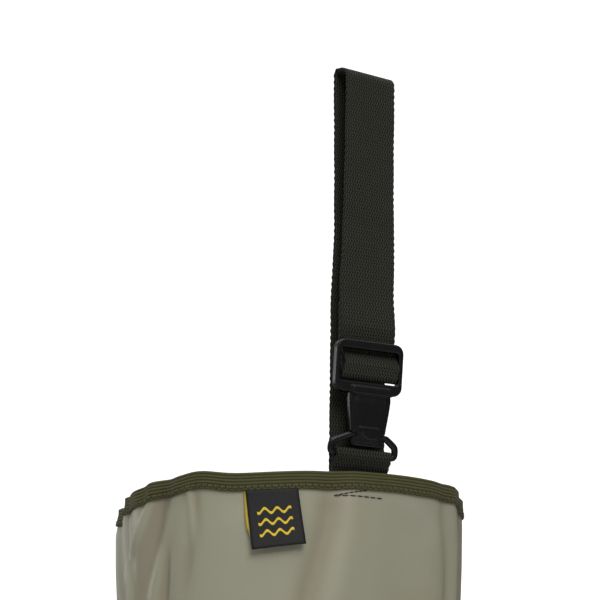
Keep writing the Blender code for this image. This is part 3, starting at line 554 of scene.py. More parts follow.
def collar_place(turn):
    """A point of the rim's plain oval and the direction straight out from it."""
    leg = bpy.context.scene.wader_leg
    half_long = leg.collar_length / 2
    half_wide = leg.collar_width / 2
    out = Vector((math.cos(turn) / half_long, math.sin(turn) / half_wide, 0.0)).normalized()
    place = Vector((leg.collar_middle + half_long * math.cos(turn), half_wide * math.sin(turn), rim_at(turn)))
    return place, out


def made_piece(name):
    if name not in bpy.data.objects:
        raise RuntimeError(f"{name} has to be made first")
    return bpy.data.objects[name]


class LegFace:
    """The finished leg's outer face, for laying things on it."""

    def __init__(self):
        mesh = bmesh.new()
        mesh.from_mesh(made_piece("fabric_leg").data)
        self.tree = BVHTree.FromBMesh(mesh)
        mesh.free()

    def at(self, turn, drop, outset=0.0):
        """A point at a turn and a distance below the rim, moved out from the face by outset."""
        oval, out = collar_place(turn)
        start = oval + out * 0.05
        start.z = rim_at(turn) - max(drop, RIM_ROUND)
        hit = self.tree.ray_cast(start, -out)[0]
        point = hit + out * outset
        point.z = rim_at(turn) - drop
        return point


# Creases of the leg, each with its depth and its tint, both positive on ridges, its width and the line it
# follows down the leg, given as turns in degrees and heights. The tint is painted light: a painted highlight
# on ridges and painted shade in troughs, and some rows are only painted light with no depth
CREASES = (
    (-0.0032, 0.1, 0.03, ((-14, 1.0), (-14, 0.78), (-12, 0.7), (-8, 0.6))),
    (-0.007, 0.0, 0.024, ((-10, 0.95), (-10, 0.795))),
    (-0.0044, -0.2, 0.008, ((-1, 0.9), (0, 0.8), (1, 0.76), (4, 0.7), (6, 0.62))),
    (-0.002, 0.0, 0.014, ((9, 0.95), (9, 0.79))),
    (0.0, -0.3, 0.024, ((128, 0.765), (126, 0.73), (124, 0.69), (122, 0.64))),
    (0.0, -0.28, 0.02, ((20, 0.8), (22, 0.74), (24, 0.69))),
    (0.0, 0.4, 0.026, ((52, 0.8), (50, 0.76), (48, 0.72))),
    (0.0, 0.45, 0.02, ((112, 0.815), (128, 0.8), (136, 0.78))),
    (0.004, 1.0, 0.0036, (
        (9, 0.9), (9.5, 0.808), (9, 0.798), (10, 0.783), (12, 0.768), (13, 0.755), (12, 0.71), (12, 0.65))),
    (0.0026, 0.9, 0.003, ((28, 0.86), (27, 0.808), (25, 0.799), (22, 0.789), (17, 0.778), (13, 0.768))),
    (0.0018, 0.9, 0.0026, ((12.5, 0.766), (11.5, 0.758), (7, 0.748), (2, 0.725), (-2, 0.69))),
    (-0.0024, -1.0, 0.0074, (
        (33.5, 0.86), (32, 0.807), (28, 0.787), (24.5, 0.768), (21, 0.744), (18, 0.7), (20, 0.64))),
    (0.0022, 0.9, 0.0042, (
        (39.5, 0.822), (38.5, 0.804), (36, 0.79), (33, 0.777), (30, 0.761), (27, 0.746), (22, 0.69))),
    (-0.002, -0.7, 0.0046, (
        (40, 0.812), (38, 0.799), (35.5, 0.788), (33, 0.775), (31, 0.741), (29, 0.69))),
    (0.0017, 0.8, 0.0026, ((43, 0.81), (43.5, 0.805), (44, 0.796), (44.4, 0.788), (44.7, 0.765))),
    (-0.0017, -0.9, 0.0052, (
        (45, 0.812), (45, 0.799), (45.2, 0.786), (44.6, 0.773), (43, 0.757), (40, 0.72))),
    (-0.001, -0.5, 0.024, ((34, 0.9), (33, 0.8), (30, 0.7), (28, 0.64))),
    (0.0016, 0.0, 0.018, ((60, 0.8), (58, 0.76), (54, 0.7))),
    (-0.0032, -0.9, 0.008, (
        (92, 0.85), (90.5, 0.803), (89.5, 0.786), (86, 0.761), (83, 0.738), (78, 0.7), (70, 0.64))),
    (0.0016, 0.0, 0.009, ((100, 0.83), (98, 0.803), (97, 0.775), (94, 0.745), (88, 0.7))),
    (-0.0014, -0.2, 0.018, ((118, 0.805), (116, 0.784), (116, 0.743), (112, 0.7), (104, 0.64))),
    (0.0018, 0.0, 0.015, ((132, 0.8), (134, 0.74), (130, 0.68))),
    (-0.0018, -0.5, 0.0065, ((137, 0.85), (140, 0.8), (142, 0.76), (140, 0.7), (136, 0.64))),
    (0.002, 0.2, 0.007, (
        (142, 0.88), (144, 0.818), (147, 0.805), (149, 0.789), (149, 0.753), (146, 0.69), (142, 0.62))),
    (-0.0024, -1.0, 0.016, ((166, 0.9), (167, 0.79), (166, 0.7), (162, 0.62))),
    (0.001, -0.3, 0.01, ((172, 0.85), (171, 0.76), (168, 0.66))),
    (-0.0034, -0.4, 0.018, ((200, 0.835), (206, 0.76), (214, 0.68), (218, 0.6))),
    (0.0026, 0.4, 0.014, ((228, 0.8), (234, 0.72), (236, 0.64), (230, 0.56))),
    (-0.003, -0.4, 0.016, ((256, 0.835), (262, 0.74), (272, 0.65), (276, 0.56))),
    (0.0028, 0.4, 0.014, ((290, 0.812), (296, 0.72), (300, 0.62), (296, 0.54))),
    (-0.0032, -0.4, 0.013, ((322, 0.84), (328, 0.76), (330, 0.68), (324, 0.6))),
    (0.0026, 0.4, 0.01, ((338, 0.8), (342, 0.74), (344, 0.66))),
    (-0.0056, -0.6, 0.015, ((-34, 0.56), (-8, 0.535), (18, 0.525), (44, 0.545), (66, 0.58))),
    (0.004, 0.6, 0.012, ((-24, 0.525), (2, 0.5), (30, 0.494), (56, 0.512))),
    (-0.0048, -0.6, 0.013, ((10, 0.476), (34, 0.46), (62, 0.466), (88, 0.5), (104, 0.535))),
    (0.0036, 0.6, 0.012, ((66, 0.45), (92, 0.47), (112, 0.505), (126, 0.56))),
    (-0.0058, -0.6, 0.015, ((108, 0.44), (132, 0.462), (158, 0.52), (172, 0.59), (178, 0.64))),
    (0.004, 0.6, 0.014, ((150, 0.44), (172, 0.48), (190, 0.54), (196, 0.6))),
    (-0.0052, -0.6, 0.015, ((168, 0.4), (196, 0.424), (222, 0.47), (238, 0.53))),
    (0.0038, 0.6, 0.013, ((206, 0.396), (236, 0.414), (262, 0.456), (276, 0.51))),
    (-0.0054, -0.6, 0.014, ((236, 0.376), (264, 0.392), (292, 0.44), (306, 0.5))),
    (0.004, 0.6, 0.012, ((284, 0.39), (308, 0.412), (330, 0.46), (340, 0.51))),
    (-0.0046, -0.6, 0.012, ((-60, 0.4), (-34, 0.392), (-8, 0.41), (16, 0.432))),
    (0.0034, 0.6, 0.011, ((-30, 0.36), (-4, 0.366), (22, 0.386), (46, 0.404))),
    (-0.005, -0.6, 0.011, ((-16, 0.33), (10, 0.322), (38, 0.334), (62, 0.362))),
    (0.003, 0.6, 0.01, ((44, 0.316), (70, 0.33), (96, 0.362), (112, 0.392))),
    (-0.0046, -0.6, 0.011, ((84, 0.306), (110, 0.318), (136, 0.35), (152, 0.388))),
    (-0.0044, -0.6, 0.011, ((140, 0.3), (168, 0.314), (196, 0.344), (212, 0.376))),
    (0.003, 0.6, 0.01, ((170, 0.292), (198, 0.3), (224, 0.324), (240, 0.35))),
    (-0.0046, -0.6, 0.011, ((222, 0.298), (250, 0.308), (278, 0.334), (296, 0.36))),
    (0.0028, 0.6, 0.01, ((262, 0.292), (290, 0.3), (316, 0.322), (330, 0.344))),
)

# Creases across the boot's ankle: where along the boot and how high the crease runs, its slope as rise over
# run, its width and depth, and how far to each side of that place it reaches
ANKLE_CREASES = (
    (0.060, 0.118, -0.75, 0.0055, -0.0030, 0.050),
    (0.074, 0.104, -0.80, 0.0045, 0.0020, 0.045),
    (0.086, 0.092, -0.85, 0.0050, -0.0028, 0.042),
    (0.044, 0.136, -0.55, 0.0060, -0.0024, 0.050),
    (0.104, 0.080, -0.95, 0.0050, -0.0018, 0.034),
    (-0.018, 0.112, 0.50, 0.0060, -0.0022, 0.040),
    (-0.020, 0.128, 0.42, 0.0050, 0.0016, 0.036),
    (0.150, 0.052, -1.60, 0.0060, -0.0012, 0.030),
)
RIM_ROUND = 0.0025


def ease(low, high, value):
    """A soft step from 0 at low to 1 at high."""
    share = max(0.0, min(1.0, (value - low) / (high - low)))
    return share * share * (3.0 - 2.0 * share)


# The leg's mean radius at the rim, which turns the creases' turns into distances, and how fast a crease
# fades towards its ends and what is left of it there
MEAN_RADIUS = 0.105
FADE_RATE = 3.5
FADE_REST = 0.12


def leg_creases(turns, heights):
    """How far the creases push the leg's skin out, and their tint of painted highlight and painted shade, at
    many places at once.
    """
    girth = math.tau * MEAN_RADIUS
    spots = np.stack([np.array(turns) * MEAN_RADIUS, np.array(heights)], axis=1)
    pushes = np.zeros(len(spots))
    painted_light_tints = np.zeros(len(spots))
    for depth, painted_light_tint, width, line in CREASES:
        points = [np.array((math.radians(turn) * MEAN_RADIUS, height)) for turn, height in line]
        middle = sum(point[0] for point in points) / len(points)
        here = spots.copy()
        here[:, 0] = (here[:, 0] - middle + girth / 2) % girth - girth / 2 + middle
        nearest = np.full(len(here), 1.0)
        along = np.zeros(len(here))
        for i, (start, end) in enumerate(zip(points, points[1:])):
            run = end - start
            share = np.clip((here - start) @ run / (run @ run), 0.0, 1.0)
            away = np.linalg.norm(here - start - share[:, None] * run, axis=1)
            closer = away < nearest
            nearest[closer] = away[closer]
            along[closer] = ((i + share) / (len(points) - 1))[closer]
        fade = np.clip(np.minimum(along, 1.0 - along) * FADE_RATE + FADE_REST, 0.0, 1.0)
        share = fade * fade * (3.0 - 2.0 * fade) * np.exp(-(nearest / width) ** 2)
        pushes += depth * share
        painted_light_tints += painted_light_tint * share
    return pushes, painted_light_tints


def ankle_crease(point):
    """How far the creases push the boot's skin out at a place."""
    total = 0.0
    for x, z, slope, width, depth, reach in ANKLE_CREASES:
        run = Vector((1.0, slope)).normalized()
        aside = Vector((point.x - x, point.z - z))
        across = run.x * aside.y - run.y * aside.x
        along = run.dot(aside)
        total += depth * math.exp(-(across / width) ** 2 - (along / reach) ** 2)
    return total


def turn_of(vertex):
    """A point's turn round the collar's oval."""
    leg = bpy.context.scene.wader_leg
    return math.atan2(vertex.co.y / leg.collar_width, (vertex.co.x - leg.collar_middle) / leg.collar_length)


# Leg and boot

# Heights at which the leg's long faces are cut
LEG_CUTS = (0.30, 0.34, 0.40, 0.46, 0.52, 0.58, 0.63, 0.68, 0.72, 0.755, 0.785, 0.800, 0.811)
# Turns in degrees between which the columns of faces are halved, and how wide in degrees and how high up
# an edge of such a column is
FINE_TURNS = ((-21.0, 51.0), (134.0, 166.0))
COLUMN_TURN = (2.0, 8.0)
COLUMN_TOP = 0.75
# Creases grow over this stretch round the boot's top
CREASE_START = (-0.02, 0.015)
# A place along the boot's inside, which tells its outer skin from its inner one
BOOT_INSIDE = 0.03


class WADER_OT_leg(Operator):
    """Crease the long leg of coated fabric and give it its satin green-grey skin"""
    bl_idname = "wader.leg"
    bl_label = "Fabric leg"

    def execute(self, context):
        settings = context.scene.wader_leg
        mesh = merged_copy("leg")
        for height in LEG_CUTS:
            geometry = mesh.verts[:] + mesh.edges[:] + mesh.faces[:]
            bmesh.ops.bisect_plane(
                mesh, geom=geometry, dist=MERGE, plane_co=(0, 0, height), plane_no=(0, 0, 1))
        self.split_columns(mesh)
        leg = piece("fabric_leg", mesh, coated_fabric(settings), ["leg"])
        subdivide(leg, 2)
        apply_modifiers(leg)
        turns = [turn_of(vertex) for vertex in leg.data.vertices]
        pushes, painted_light_tints = leg_creases(turns, [vertex.co.z for vertex in leg.data.vertices])
        # The fold attribute carries the creases' painted highlight and painted shade to the fabric's colour.
        leg.data.attributes.new("fold", "FLOAT", "POINT").data.foreach_set("value", painted_light_tints)
        for vertex, turn, push in zip(leg.data.vertices, turns, pushes):
            push = float(push) * ease(BOOT_TOP + CREASE_START[0], BOOT_TOP + CREASE_START[1], vertex.co.z)
            moved = (vertex.co.xy - Vector((settings.collar_middle, 0.0))).normalized() * push
            lift = rim_wave(turn) * ease(settings.rim_height - 0.10, settings.rim_height - 0.012, vertex.co.z)
            vertex.co += Vector((moved.x, moved.y, lift))
        return {"FINISHED"}

    def split_columns(self, mesh):
        """Halve the columns of faces where the rim's sharpest creases run."""
        rings = set()
        for edge in mesh.edges:
            low, high = sorted(math.degrees(turn_of(vertex)) for vertex in edge.verts)
            near = any(start < low < end for start, end in FINE_TURNS)
            level = COLUMN_TURN[0] < high - low < COLUMN_TURN[1]
            lowest = min(vertex.co.z for vertex in edge.verts)
            if near and level and lowest > COLUMN_TOP and edge not in rings:
                rings.update(edge_ring(edge))
        bmesh.ops.subdivide_edges(mesh, edges=[edge for edge in mesh.edges if edge in rings], cuts=1)


class WADER_OT_boot(Operator):
    """Crease the moulded boot at the ankle and give it its rubbery skin"""
    bl_idname = "wader.boot"
    bl_label = "Moulded boot"

    def execute(self, context):
        mesh = merged_copy("boot")
        boot = piece("moulded_boot", mesh, boot_pvc(), ["boot"])
        subdivide(boot, 2)
        apply_modifiers(boot)
        normals = [vertex.normal.copy() for vertex in boot.data.vertices]
        inside = Vector((BOOT_INSIDE, 0.0))
        for vertex, normal in zip(boot.data.vertices, normals):
            side = 1.0 if normal.xy.dot(vertex.co.xy - inside) > 0.0 else -1.0
            vertex.co += normal * (side * ankle_crease(vertex.co))
        return {"FINISHED"}


class WADER_OT_sole(Operator):
    """Give the lugged sole its dusty rubber and the insole its felt"""
    bl_idname = "wader.sole"
    bl_label = "Sole and insole"

    def execute(self, context):
        for node, material in (("outsole", sole_rubber()), ("insole", insole_felt())):
            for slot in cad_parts[node].material_slots:
                slot.material = material
        return {"FINISHED"}


# Binding and label

# The tape's waver along its lower edge, and how deep its fold sits on the rim as a share of its radius
TAPE_WAVER = 0.00025
FOLD_SINK = 0.4
# The seam's zigzag: its step, its thread's radius, and the reach, fall and radius of the painted shade at its
# needle holes
SEAM_STEP = 0.0039
THREAD_RADIUS = 0.00022
HOLE_REACH = 0.0004
HOLE_FALL = 0.0002
HOLE_RADIUS = 0.00046


class WADER_OT_binding(Operator):
    """Fold the ribbed olive tape over the rim and sew it with a zigzag"""
    bl_idname = "wader.binding"
    bl_label = "Rim binding"

    def execute(self, context):
        trim = context.scene.wader_trim
        leg = context.scene.wader_leg
        face = LegFace()
        fold = leg.wall / 2 + GAP + trim.binding_thick / 2
        half_arc = fold * math.pi / 2
        depth = trim.binding_depth
        girth = math.pi * (leg.collar_length + leg.collar_width) / 2

        def place(across, along):
            turn = math.tau * along / girth
            tuck = TAPE_WAVER * math.sin(turn * 17.0) * math.sin(turn * 5.0)
            if abs(across) <= half_arc:
                angle = across / fold
                drop = -GAP - fold * math.cos(angle) + fold * FOLD_SINK
                return face.at(turn, drop, fold * math.sin(angle) - leg.wall / 2)
            drop = (abs(across) - half_arc) * (1.0 + tuck / depth) - fold * (1.0 - FOLD_SINK)
            side = fold if across > 0.0 else -fold
            return face.at(turn, drop, side - leg.wall / 2)

        width = 2 * (depth + half_arc)
        mesh = flat_strip(width, girth, 22, 432)
        lay(mesh, place)
        bmesh.ops.remove_doubles(mesh, verts=mesh.verts, dist=MERGE)
        tape = piece("rim_binding", mesh, binding_tape(trim), ["collar_binding"])
        thicken(tape, trim.binding_thick)

        stitches = bmesh.new()
        # Dark grains of painted shade sit at the needle holes.
        hole_shade_grains = bmesh.new()
        count = 2 * round(girth / SEAM_STEP)
        outset = GAP + trim.binding_thick + 0.0001
        corners = []
        for i in range(count):
            turn = math.tau * i / count
            drop = depth - (0.0021 if i % 2 else 0.0039)
            corners.append(face.at(turn, drop, outset))
            reach = HOLE_REACH / girth * math.tau
            start = face.at(turn - reach, drop, outset)
            end = face.at(turn + reach, drop + HOLE_FALL, outset)
            stitch(hole_shade_grains, start, end, HOLE_RADIUS)
        for i, corner in enumerate(corners):
            stitch(stitches, corner, corners[(i + 1) % count], THREAD_RADIUS)
        colour = shaded(trim.binding_colour, 1.7)
        piece("binding_stitches", stitches, thread("binding_thread", colour))
        piece("needle_holes", hole_shade_grains, thread("hole_shade", shaded(trim.binding_colour, 0.2)))
        return {"FINISHED"}


# The label: how far its lower edge swings out and its sides curl, how its lower edge slopes, and the width,
# the clearance and the thickness of its back layer
LABEL_SWING = 0.0034
LABEL_CURL = 0.0008
LABEL_SLOPE = math.radians(5.0)
BACK_WIDTH = 0.006
BACK_OUT = 0.0007
BACK_THICK = 0.0004


class WADER_OT_label(Operator):
    """Hang the small woven label with its yellow back layer under the binding"""
    bl_idname = "wader.label"
    bl_label = "Label"

    def execute(self, context):
        trim = context.scene.wader_trim
        leg = context.scene.wader_leg
        face = LegFace()
        arc_rate = math.hypot(
            leg.collar_length / 2 * math.sin(trim.label_turn),
            leg.collar_width / 2 * math.cos(trim.label_turn))

        def place(across, along, outset):
            aside = across + math.tan(trim.label_lean) * along
            down = along / trim.label_length
            corner = (across / trim.label_width) ** 2
            lift = LABEL_SWING * down * down + LABEL_CURL * corner * down
            drop = trim.binding_depth + along - 0.0008 - math.tan(LABEL_SLOPE) * across * down
            return face.at(trim.label_turn + aside / arc_rate, drop, outset + lift)

        mesh = flat_strip(trim.label_width, trim.label_length, 16, 20)
        lay(mesh, lambda across, along: place(across, along, 0.0013))
        front = piece("woven_label", mesh, label_weave(trim), ["label"])
        thicken(front, 0.0005)

        mesh = flat_strip(BACK_WIDTH, trim.label_length * 0.80, 4, 14)

        def place_back(across, along):
            proud = 0.0011 + 0.0008 * math.sin(math.pi * along / trim.label_length)
            shift = BACK_WIDTH / 2 - trim.label_width / 2 - proud * (1.0 - ease(0.022, 0.031, along))
            return place(across + shift, along, BACK_OUT)

        lay(mesh, place_back)
        back = piece("label_backing", mesh, label_back(trim))
        thicken(back, BACK_THICK)
        return {"FINISHED"}


# Webbing: the route repeats the solid strap's, in the strap's frame, whose origin is the rim's top in the
# middle of the wall, across along the wall towards the heel, out away from the leg and up

STITCH_DEPTH = 0.026
LOOP_HEIGHT = 0.281
LOOP_GAP = 0.0145
LOOP_TWIST = math.radians(-10)
LOOP_FRONT = 0.0105
TAIL_REACH = 0.022
BEND_RADIUS = 0.003
RING_BAR = 0.004
RING_HEIGHT = 0.0167
RING_LIFT = 0.0127
RING_LEAN = math.radians(14)
BUCKLE_LEAN = math.radians(8.5)
FRAME_LOW = 0.0277
FRAME_HEIGHT = 0.0346
FRAME_THICK = 0.0058
WINDOW_LOW = FRAME_LOW + 0.0073
WINDOW_HIGH = FRAME_LOW + FRAME_HEIGHT - 0.0057
BAR_HEIGHT = 0.004
BAR_THICK = 0.003
BAR_UP = WINDOW_LOW + 0.0051
BINDING_TOP = 0.0017


class StrapFrame:
    """The strap's own frame and the webbing's seat inside the rim."""

    def __init__(self):
        scene = bpy.context.scene
        rim, self.out = collar_place(scene.wader_strap.turn)
        self.across = Vector((-self.out.y, self.out.x, 0.0))
        self.origin = rim - self.out * (scene.wader_leg.wall / 2)
        self.thick = scene.wader_strap.thick
        reach = []
        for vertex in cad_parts["anchor_loop"].data.vertices:
            away = vertex.co - self.origin
            if away.z < 0.0:
                reach.append(away.dot(self.out))
        self.seat = max(reach) - self.thick / 2

    def place(self, across, out, up, twist=0.0):
        """World place of a point, turned about the loop's upright middle line."""
        pivot = LOOP_FRONT - LOOP_GAP / 2
        turned_across = across * math.cos(twist) - (out - pivot) * math.sin(twist)
        turned_out = pivot + across * math.sin(twist) + (out - pivot) * math.cos(twist)
        return self.origin + self.across * turned_across + self.out * turned_out + UP * up

    def layer(self, number):
        """Middle of a webbing layer sewn inside the rim; layer 0 lies against the binding."""
        return self.seat - number * (self.thick + GAP)


def buckle_place(out, up):
    """Place in the strap's frame of a point of the buckle's own tilted frame, 0 at the ring's top bar."""
    bar_out = math.sin(RING_LEAN) * (RING_HEIGHT - RING_BAR)
    bar_up = RING_LIFT + math.cos(RING_LEAN) * (RING_HEIGHT - RING_BAR)
    lean_cos = math.cos(BUCKLE_LEAN)
    lean_sin = math.sin(BUCKLE_LEAN)
    return bar_out + out * lean_cos + up * lean_sin, bar_up + up * lean_cos - out * lean_sin


def rounded(points):
    """A path through points of (out, up, radius) with an arc at each corner."""
    path = [Vector(points[0][:2])]
    for before, corner, after in zip(points, points[1:], points[2:]):
        here = Vector(corner[:2])
        back = Vector(before[:2]) - here
        ahead = Vector(after[:2]) - here
        half = math.acos(max(-1.0, min(1.0, back.normalized().dot(ahead.normalized())))) / 2
        run = min(corner[2] / math.tan(half), back.length / 2, ahead.length / 2)
        radius = run * math.tan(half)
        if radius < GAP or math.pi / 2 - half < math.radians(1.0):
            path.append(here)
            continue
        bisector = (back.normalized() + ahead.normalized()).normalized()
        centre = here + bisector * (radius / math.sin(half))
        start = here + back.normalized() * run - centre
        end = here + ahead.normalized() * run - centre
        sweep = math.atan2(start.x * end.y - start.y * end.x, start.dot(end))
        steps = max(3, math.ceil(abs(sweep) / math.radians(7)))
        path += [centre + Matrix.Rotation(sweep * i / steps, 2) @ start for i in range(steps + 1)]
    path.append(Vector(points[-1][:2]))
    return path


class Route:
    """A path that can be read at any distance along it."""

    def __init__(self, points):
        self.path = rounded(points)
        self.marks = [0.0]
        for before, here in zip(self.path, self.path[1:]):
            self.marks.append(self.marks[-1] + (here - before).length)
        self.length = self.marks[-1]

    def at(self, distance):
        slot = 0
        for i, mark in enumerate(self.marks[:-1]):
            if mark <= distance:
                slot = i
        step = self.marks[slot + 1] - self.marks[slot]
        share = max(0.0, min(1.0, (distance - self.marks[slot]) / step if step else 0.0))
        return self.path[slot].lerp(self.path[slot + 1], share)


def strap_points(own):
    """The strap's route: up inside, over the top, down in front, through the adjuster and back up."""
    thick = own.thick
    layer = thick + GAP
    wrap = BAR_THICK / 2 + thick / 2 + GAP * 2
    behind = FRAME_THICK / 2 + thick / 2 + GAP
    back_high = LOOP_FRONT - LOOP_GAP
    top = LOOP_HEIGHT - thick / 2
    rail_high = FRAME_LOW + FRAME_HEIGHT
    wrap_low = BAR_UP - BAR_HEIGHT / 2 - GAP - thick / 2
    kink = Vector(buckle_place(-behind, rail_high + TAIL_REACH * 0.45))
    settle = Vector((LOOP_FRONT - 0.002, buckle_place(0.0, rail_high)[1] + TAIL_REACH * 1.35))
    lean = (settle - kink).normalized()
    tail_end = kink + lean * TAIL_REACH * 0.75 + Vector((-lean.y, lean.x)) * layer
    bend = BEND_RADIUS
    points = [
        (own.layer(2), -STITCH_DEPTH - thick, 0.0),
        (own.layer(2), RING_LIFT, bend * 4),
        (back_high, LOOP_HEIGHT / 2, bend * 8),
        (back_high, top, LOOP_GAP / 5),
        (LOOP_FRONT, top - 0.003, LOOP_GAP / 2),
        (LOOP_FRONT - 0.0035, LOOP_HEIGHT * 0.6, bend * 8),
        (settle.x, settle.y, bend * 3),
        (kink.x, kink.y, bend * 3),
        (*buckle_place(-behind, WINDOW_HIGH - thick), bend),
        (*buckle_place(wrap, WINDOW_HIGH - thick - 2 * behind), bend),
        (*buckle_place(wrap, wrap_low), wrap),
        (*buckle_place(-wrap, wrap_low), wrap),
        (*buckle_place(-wrap, BAR_UP + BAR_HEIGHT / 2), bend),
        (*buckle_place(-behind - layer, WINDOW_HIGH - 2 * thick - GAP), bend),
        (kink.x - layer, kink.y + layer * 0.25, bend * 3),
        (tail_end.x, tail_end.y, 0.0),
    ]
    return points, settle.y


def anchor_points(own):
    """The anchor loop's route: up inside the rim, round the ring's lower bar and down again."""
    wrap = RING_BAR / 2 + GAP + own.thick / 2
    top = RING_LIFT + wrap
    rim_top = BINDING_TOP + own.thick / 2
    return [
        (own.layer(0), -STITCH_DEPTH, 0.0),
        (own.layer(0), rim_top, BEND_RADIUS),
        (wrap, RING_LIFT - wrap * 0.55, BEND_RADIUS),
        (wrap, top, wrap),
        (-wrap, top, wrap),
        (-wrap, RING_LIFT - wrap * 0.55, BEND_RADIUS),
        (own.layer(1), rim_top, BEND_RADIUS),
        (own.layer(1), -STITCH_DEPTH, 0.0),
    ]


# How many columns the webbing's faces have across it, and the length of one row of them
WEBBING_COLUMNS = 10
WEBBING_ROW = 0.0006


def webbing_piece(name, own, route, twist_at, aside_at, material, node):
    """Webbing laid along a route, with its selvedges nicked by the weave."""
    settings = bpy.context.scene.wader_strap
    rows = max(2, round(route.length / WEBBING_ROW))
    half = settings.width / 2

    def place(across, along):
        spot = route.at(along)
        edge = max(0.0, abs(across) / half - 0.99) * 100.0
        uneven = 0.65 + 0.35 * math.sin(along * 173.0 + across * 40.0)
        nick = 0.0006 * uneven * (0.5 - 0.5 * math.cos(math.tau * along / NICK_PITCH)) * edge
        narrowed = across - math.copysign(nick, across)
        return own.place(narrowed + aside_at(spot), spot.x, spot.y, twist_at(spot.y))

    mesh = flat_strip(settings.width, route.length, WEBBING_COLUMNS, rows)
    lay(mesh, place)
    band = piece(name, mesh, material, [node])
    thicken(band, settings.thick)
    return band


NICK_PITCH = 0.0046


class WADER_OT_webbing(Operator):
    """Lay the herringbone webbing: the upright belt loop and the short anchor loop"""
    bl_idname = "wader.webbing"
    bl_label = "Belt loop webbing"

    def execute(self, context):
        settings = context.scene.wader_strap
        own = StrapFrame()
        points, turn_low = strap_points(own)

        def twist_at(up):
            return LOOP_TWIST * ease(turn_low * 0.8, LOOP_HEIGHT * 0.8, up)

        window_low = buckle_place(0.0, WINDOW_LOW)[1]
        window_high = buckle_place(0.0, WINDOW_HIGH)[1]
        rail_high = buckle_place(0.0, FRAME_LOW + FRAME_HEIGHT)[1]

        def aside_at(spot):
            nearing = ease(window_low, window_high - 0.003, spot.y)
            at_rail = nearing * (1.0 - ease(window_high, rail_high, spot.y))
            in_front = ease(0.0, 0.004, spot.x)
            return 0.0021 * ease(turn_low, LOOP_HEIGHT * 0.6, spot.y) + 0.0024 * at_rail * in_front

        webbing = webbing_weave(settings)
        def still(place):
            """The anchor loop neither turns nor lies aside."""
            return 0.0

        webbing_piece("belt_loop", own, Route(points), twist_at, aside_at, webbing, "strap")
        anchor = Route(anchor_points(own))
        webbing_piece("anchor_webbing", own, anchor, still, still, webbing, "anchor_loop")
        return {"FINISHED"}


# The corner stitch's two arms, each from one end's turn in degrees and drop below the rim to the other's
STITCH_ARMS = (((102.8, 0.0110), (91.9, 0.0146)), ((91.9, 0.0146), (108.8, 0.0156)))
STITCHES_PER_ARM = 7


class WADER_OT_stitches(Operator):
    """Sew the dark corner stitch that holds the webbing's ends inside the leg"""
    bl_idname = "wader.stitches"
    bl_label = "Stitches"

    def execute(self, context):
        face = LegFace()
        mesh = bmesh.new()
        for (start_turn, start_drop), (end_turn, end_drop) in STITCH_ARMS:
            for i in range(STITCHES_PER_ARM):
                ends = []
                for share in ((i + 0.08) / STITCHES_PER_ARM, (i + 0.86) / STITCHES_PER_ARM):
                    turn = math.radians(start_turn + (end_turn - start_turn) * share)
                    ends.append(face.at(turn, start_drop + (end_drop - start_drop) * share, 0.0001))
                stitch(mesh, *ends, 0.00050)
        piece("corner_stitches", mesh, thread("dark_thread", (0.030, 0.028, 0.018)))
        return {"FINISHED"}


# How finely the adjuster's skin is cut and how often it is smoothed, which rounds its edges
SKIN_VOXEL = 0.00035
SKIN_PASSES = 9


class WADER_OT_buckle(Operator):
    """Round the moulded edges of the adjuster, its snap hook and the ring"""
    bl_idname = "wader.buckle"
    bl_label = "Adjuster and ring"

    def execute(self, context):
        plastic = black_plastic()
        mesh = merged_copy("snap_adjuster")
        buckle = piece("adjuster_hook", mesh, plastic, ["snap_adjuster"])
        remesh = buckle.modifiers.new("skin", "REMESH")
        remesh.mode = "VOXEL"
        remesh.voxel_size = SKIN_VOXEL
        smooth = buckle.modifiers.new("fillets", "SMOOTH")
        smooth.factor = 0.5
        smooth.iterations = SKIN_PASSES
        apply_modifiers(buckle)
        buckle.data.shade_smooth()
        ring = piece("hook_ring_bar", merged_copy("hook_ring"), plastic, ["hook_ring"])
        subdivide(ring, 2)
        return {"FINISHED"}


# Stage

# Half of the floor's side, and the strength of the white that the camera sees past it
FLOOR_HALF = 2.6
SEEN_WHITE = 1.2
# The soft square lights: name, place to the right, up and towards the camera from the aimed point, side and
# share of the key power
LIGHTS = (
    ("edge", (-1.9, 0.4, -0.8), 0.7, 0.65),
    ("front", (0.65, 1.5, 2.1), 1.6, 3.25),
    ("left", (-1.8, 0.5, 1.1), 0.5, 0.25),
    ("back", (-0.4, 0.8, -2.2), 1.8, 0.6),
)
TOP_OFFSET = (0.0, 1.9, 0.2)
TOP_SIZE = 2.6


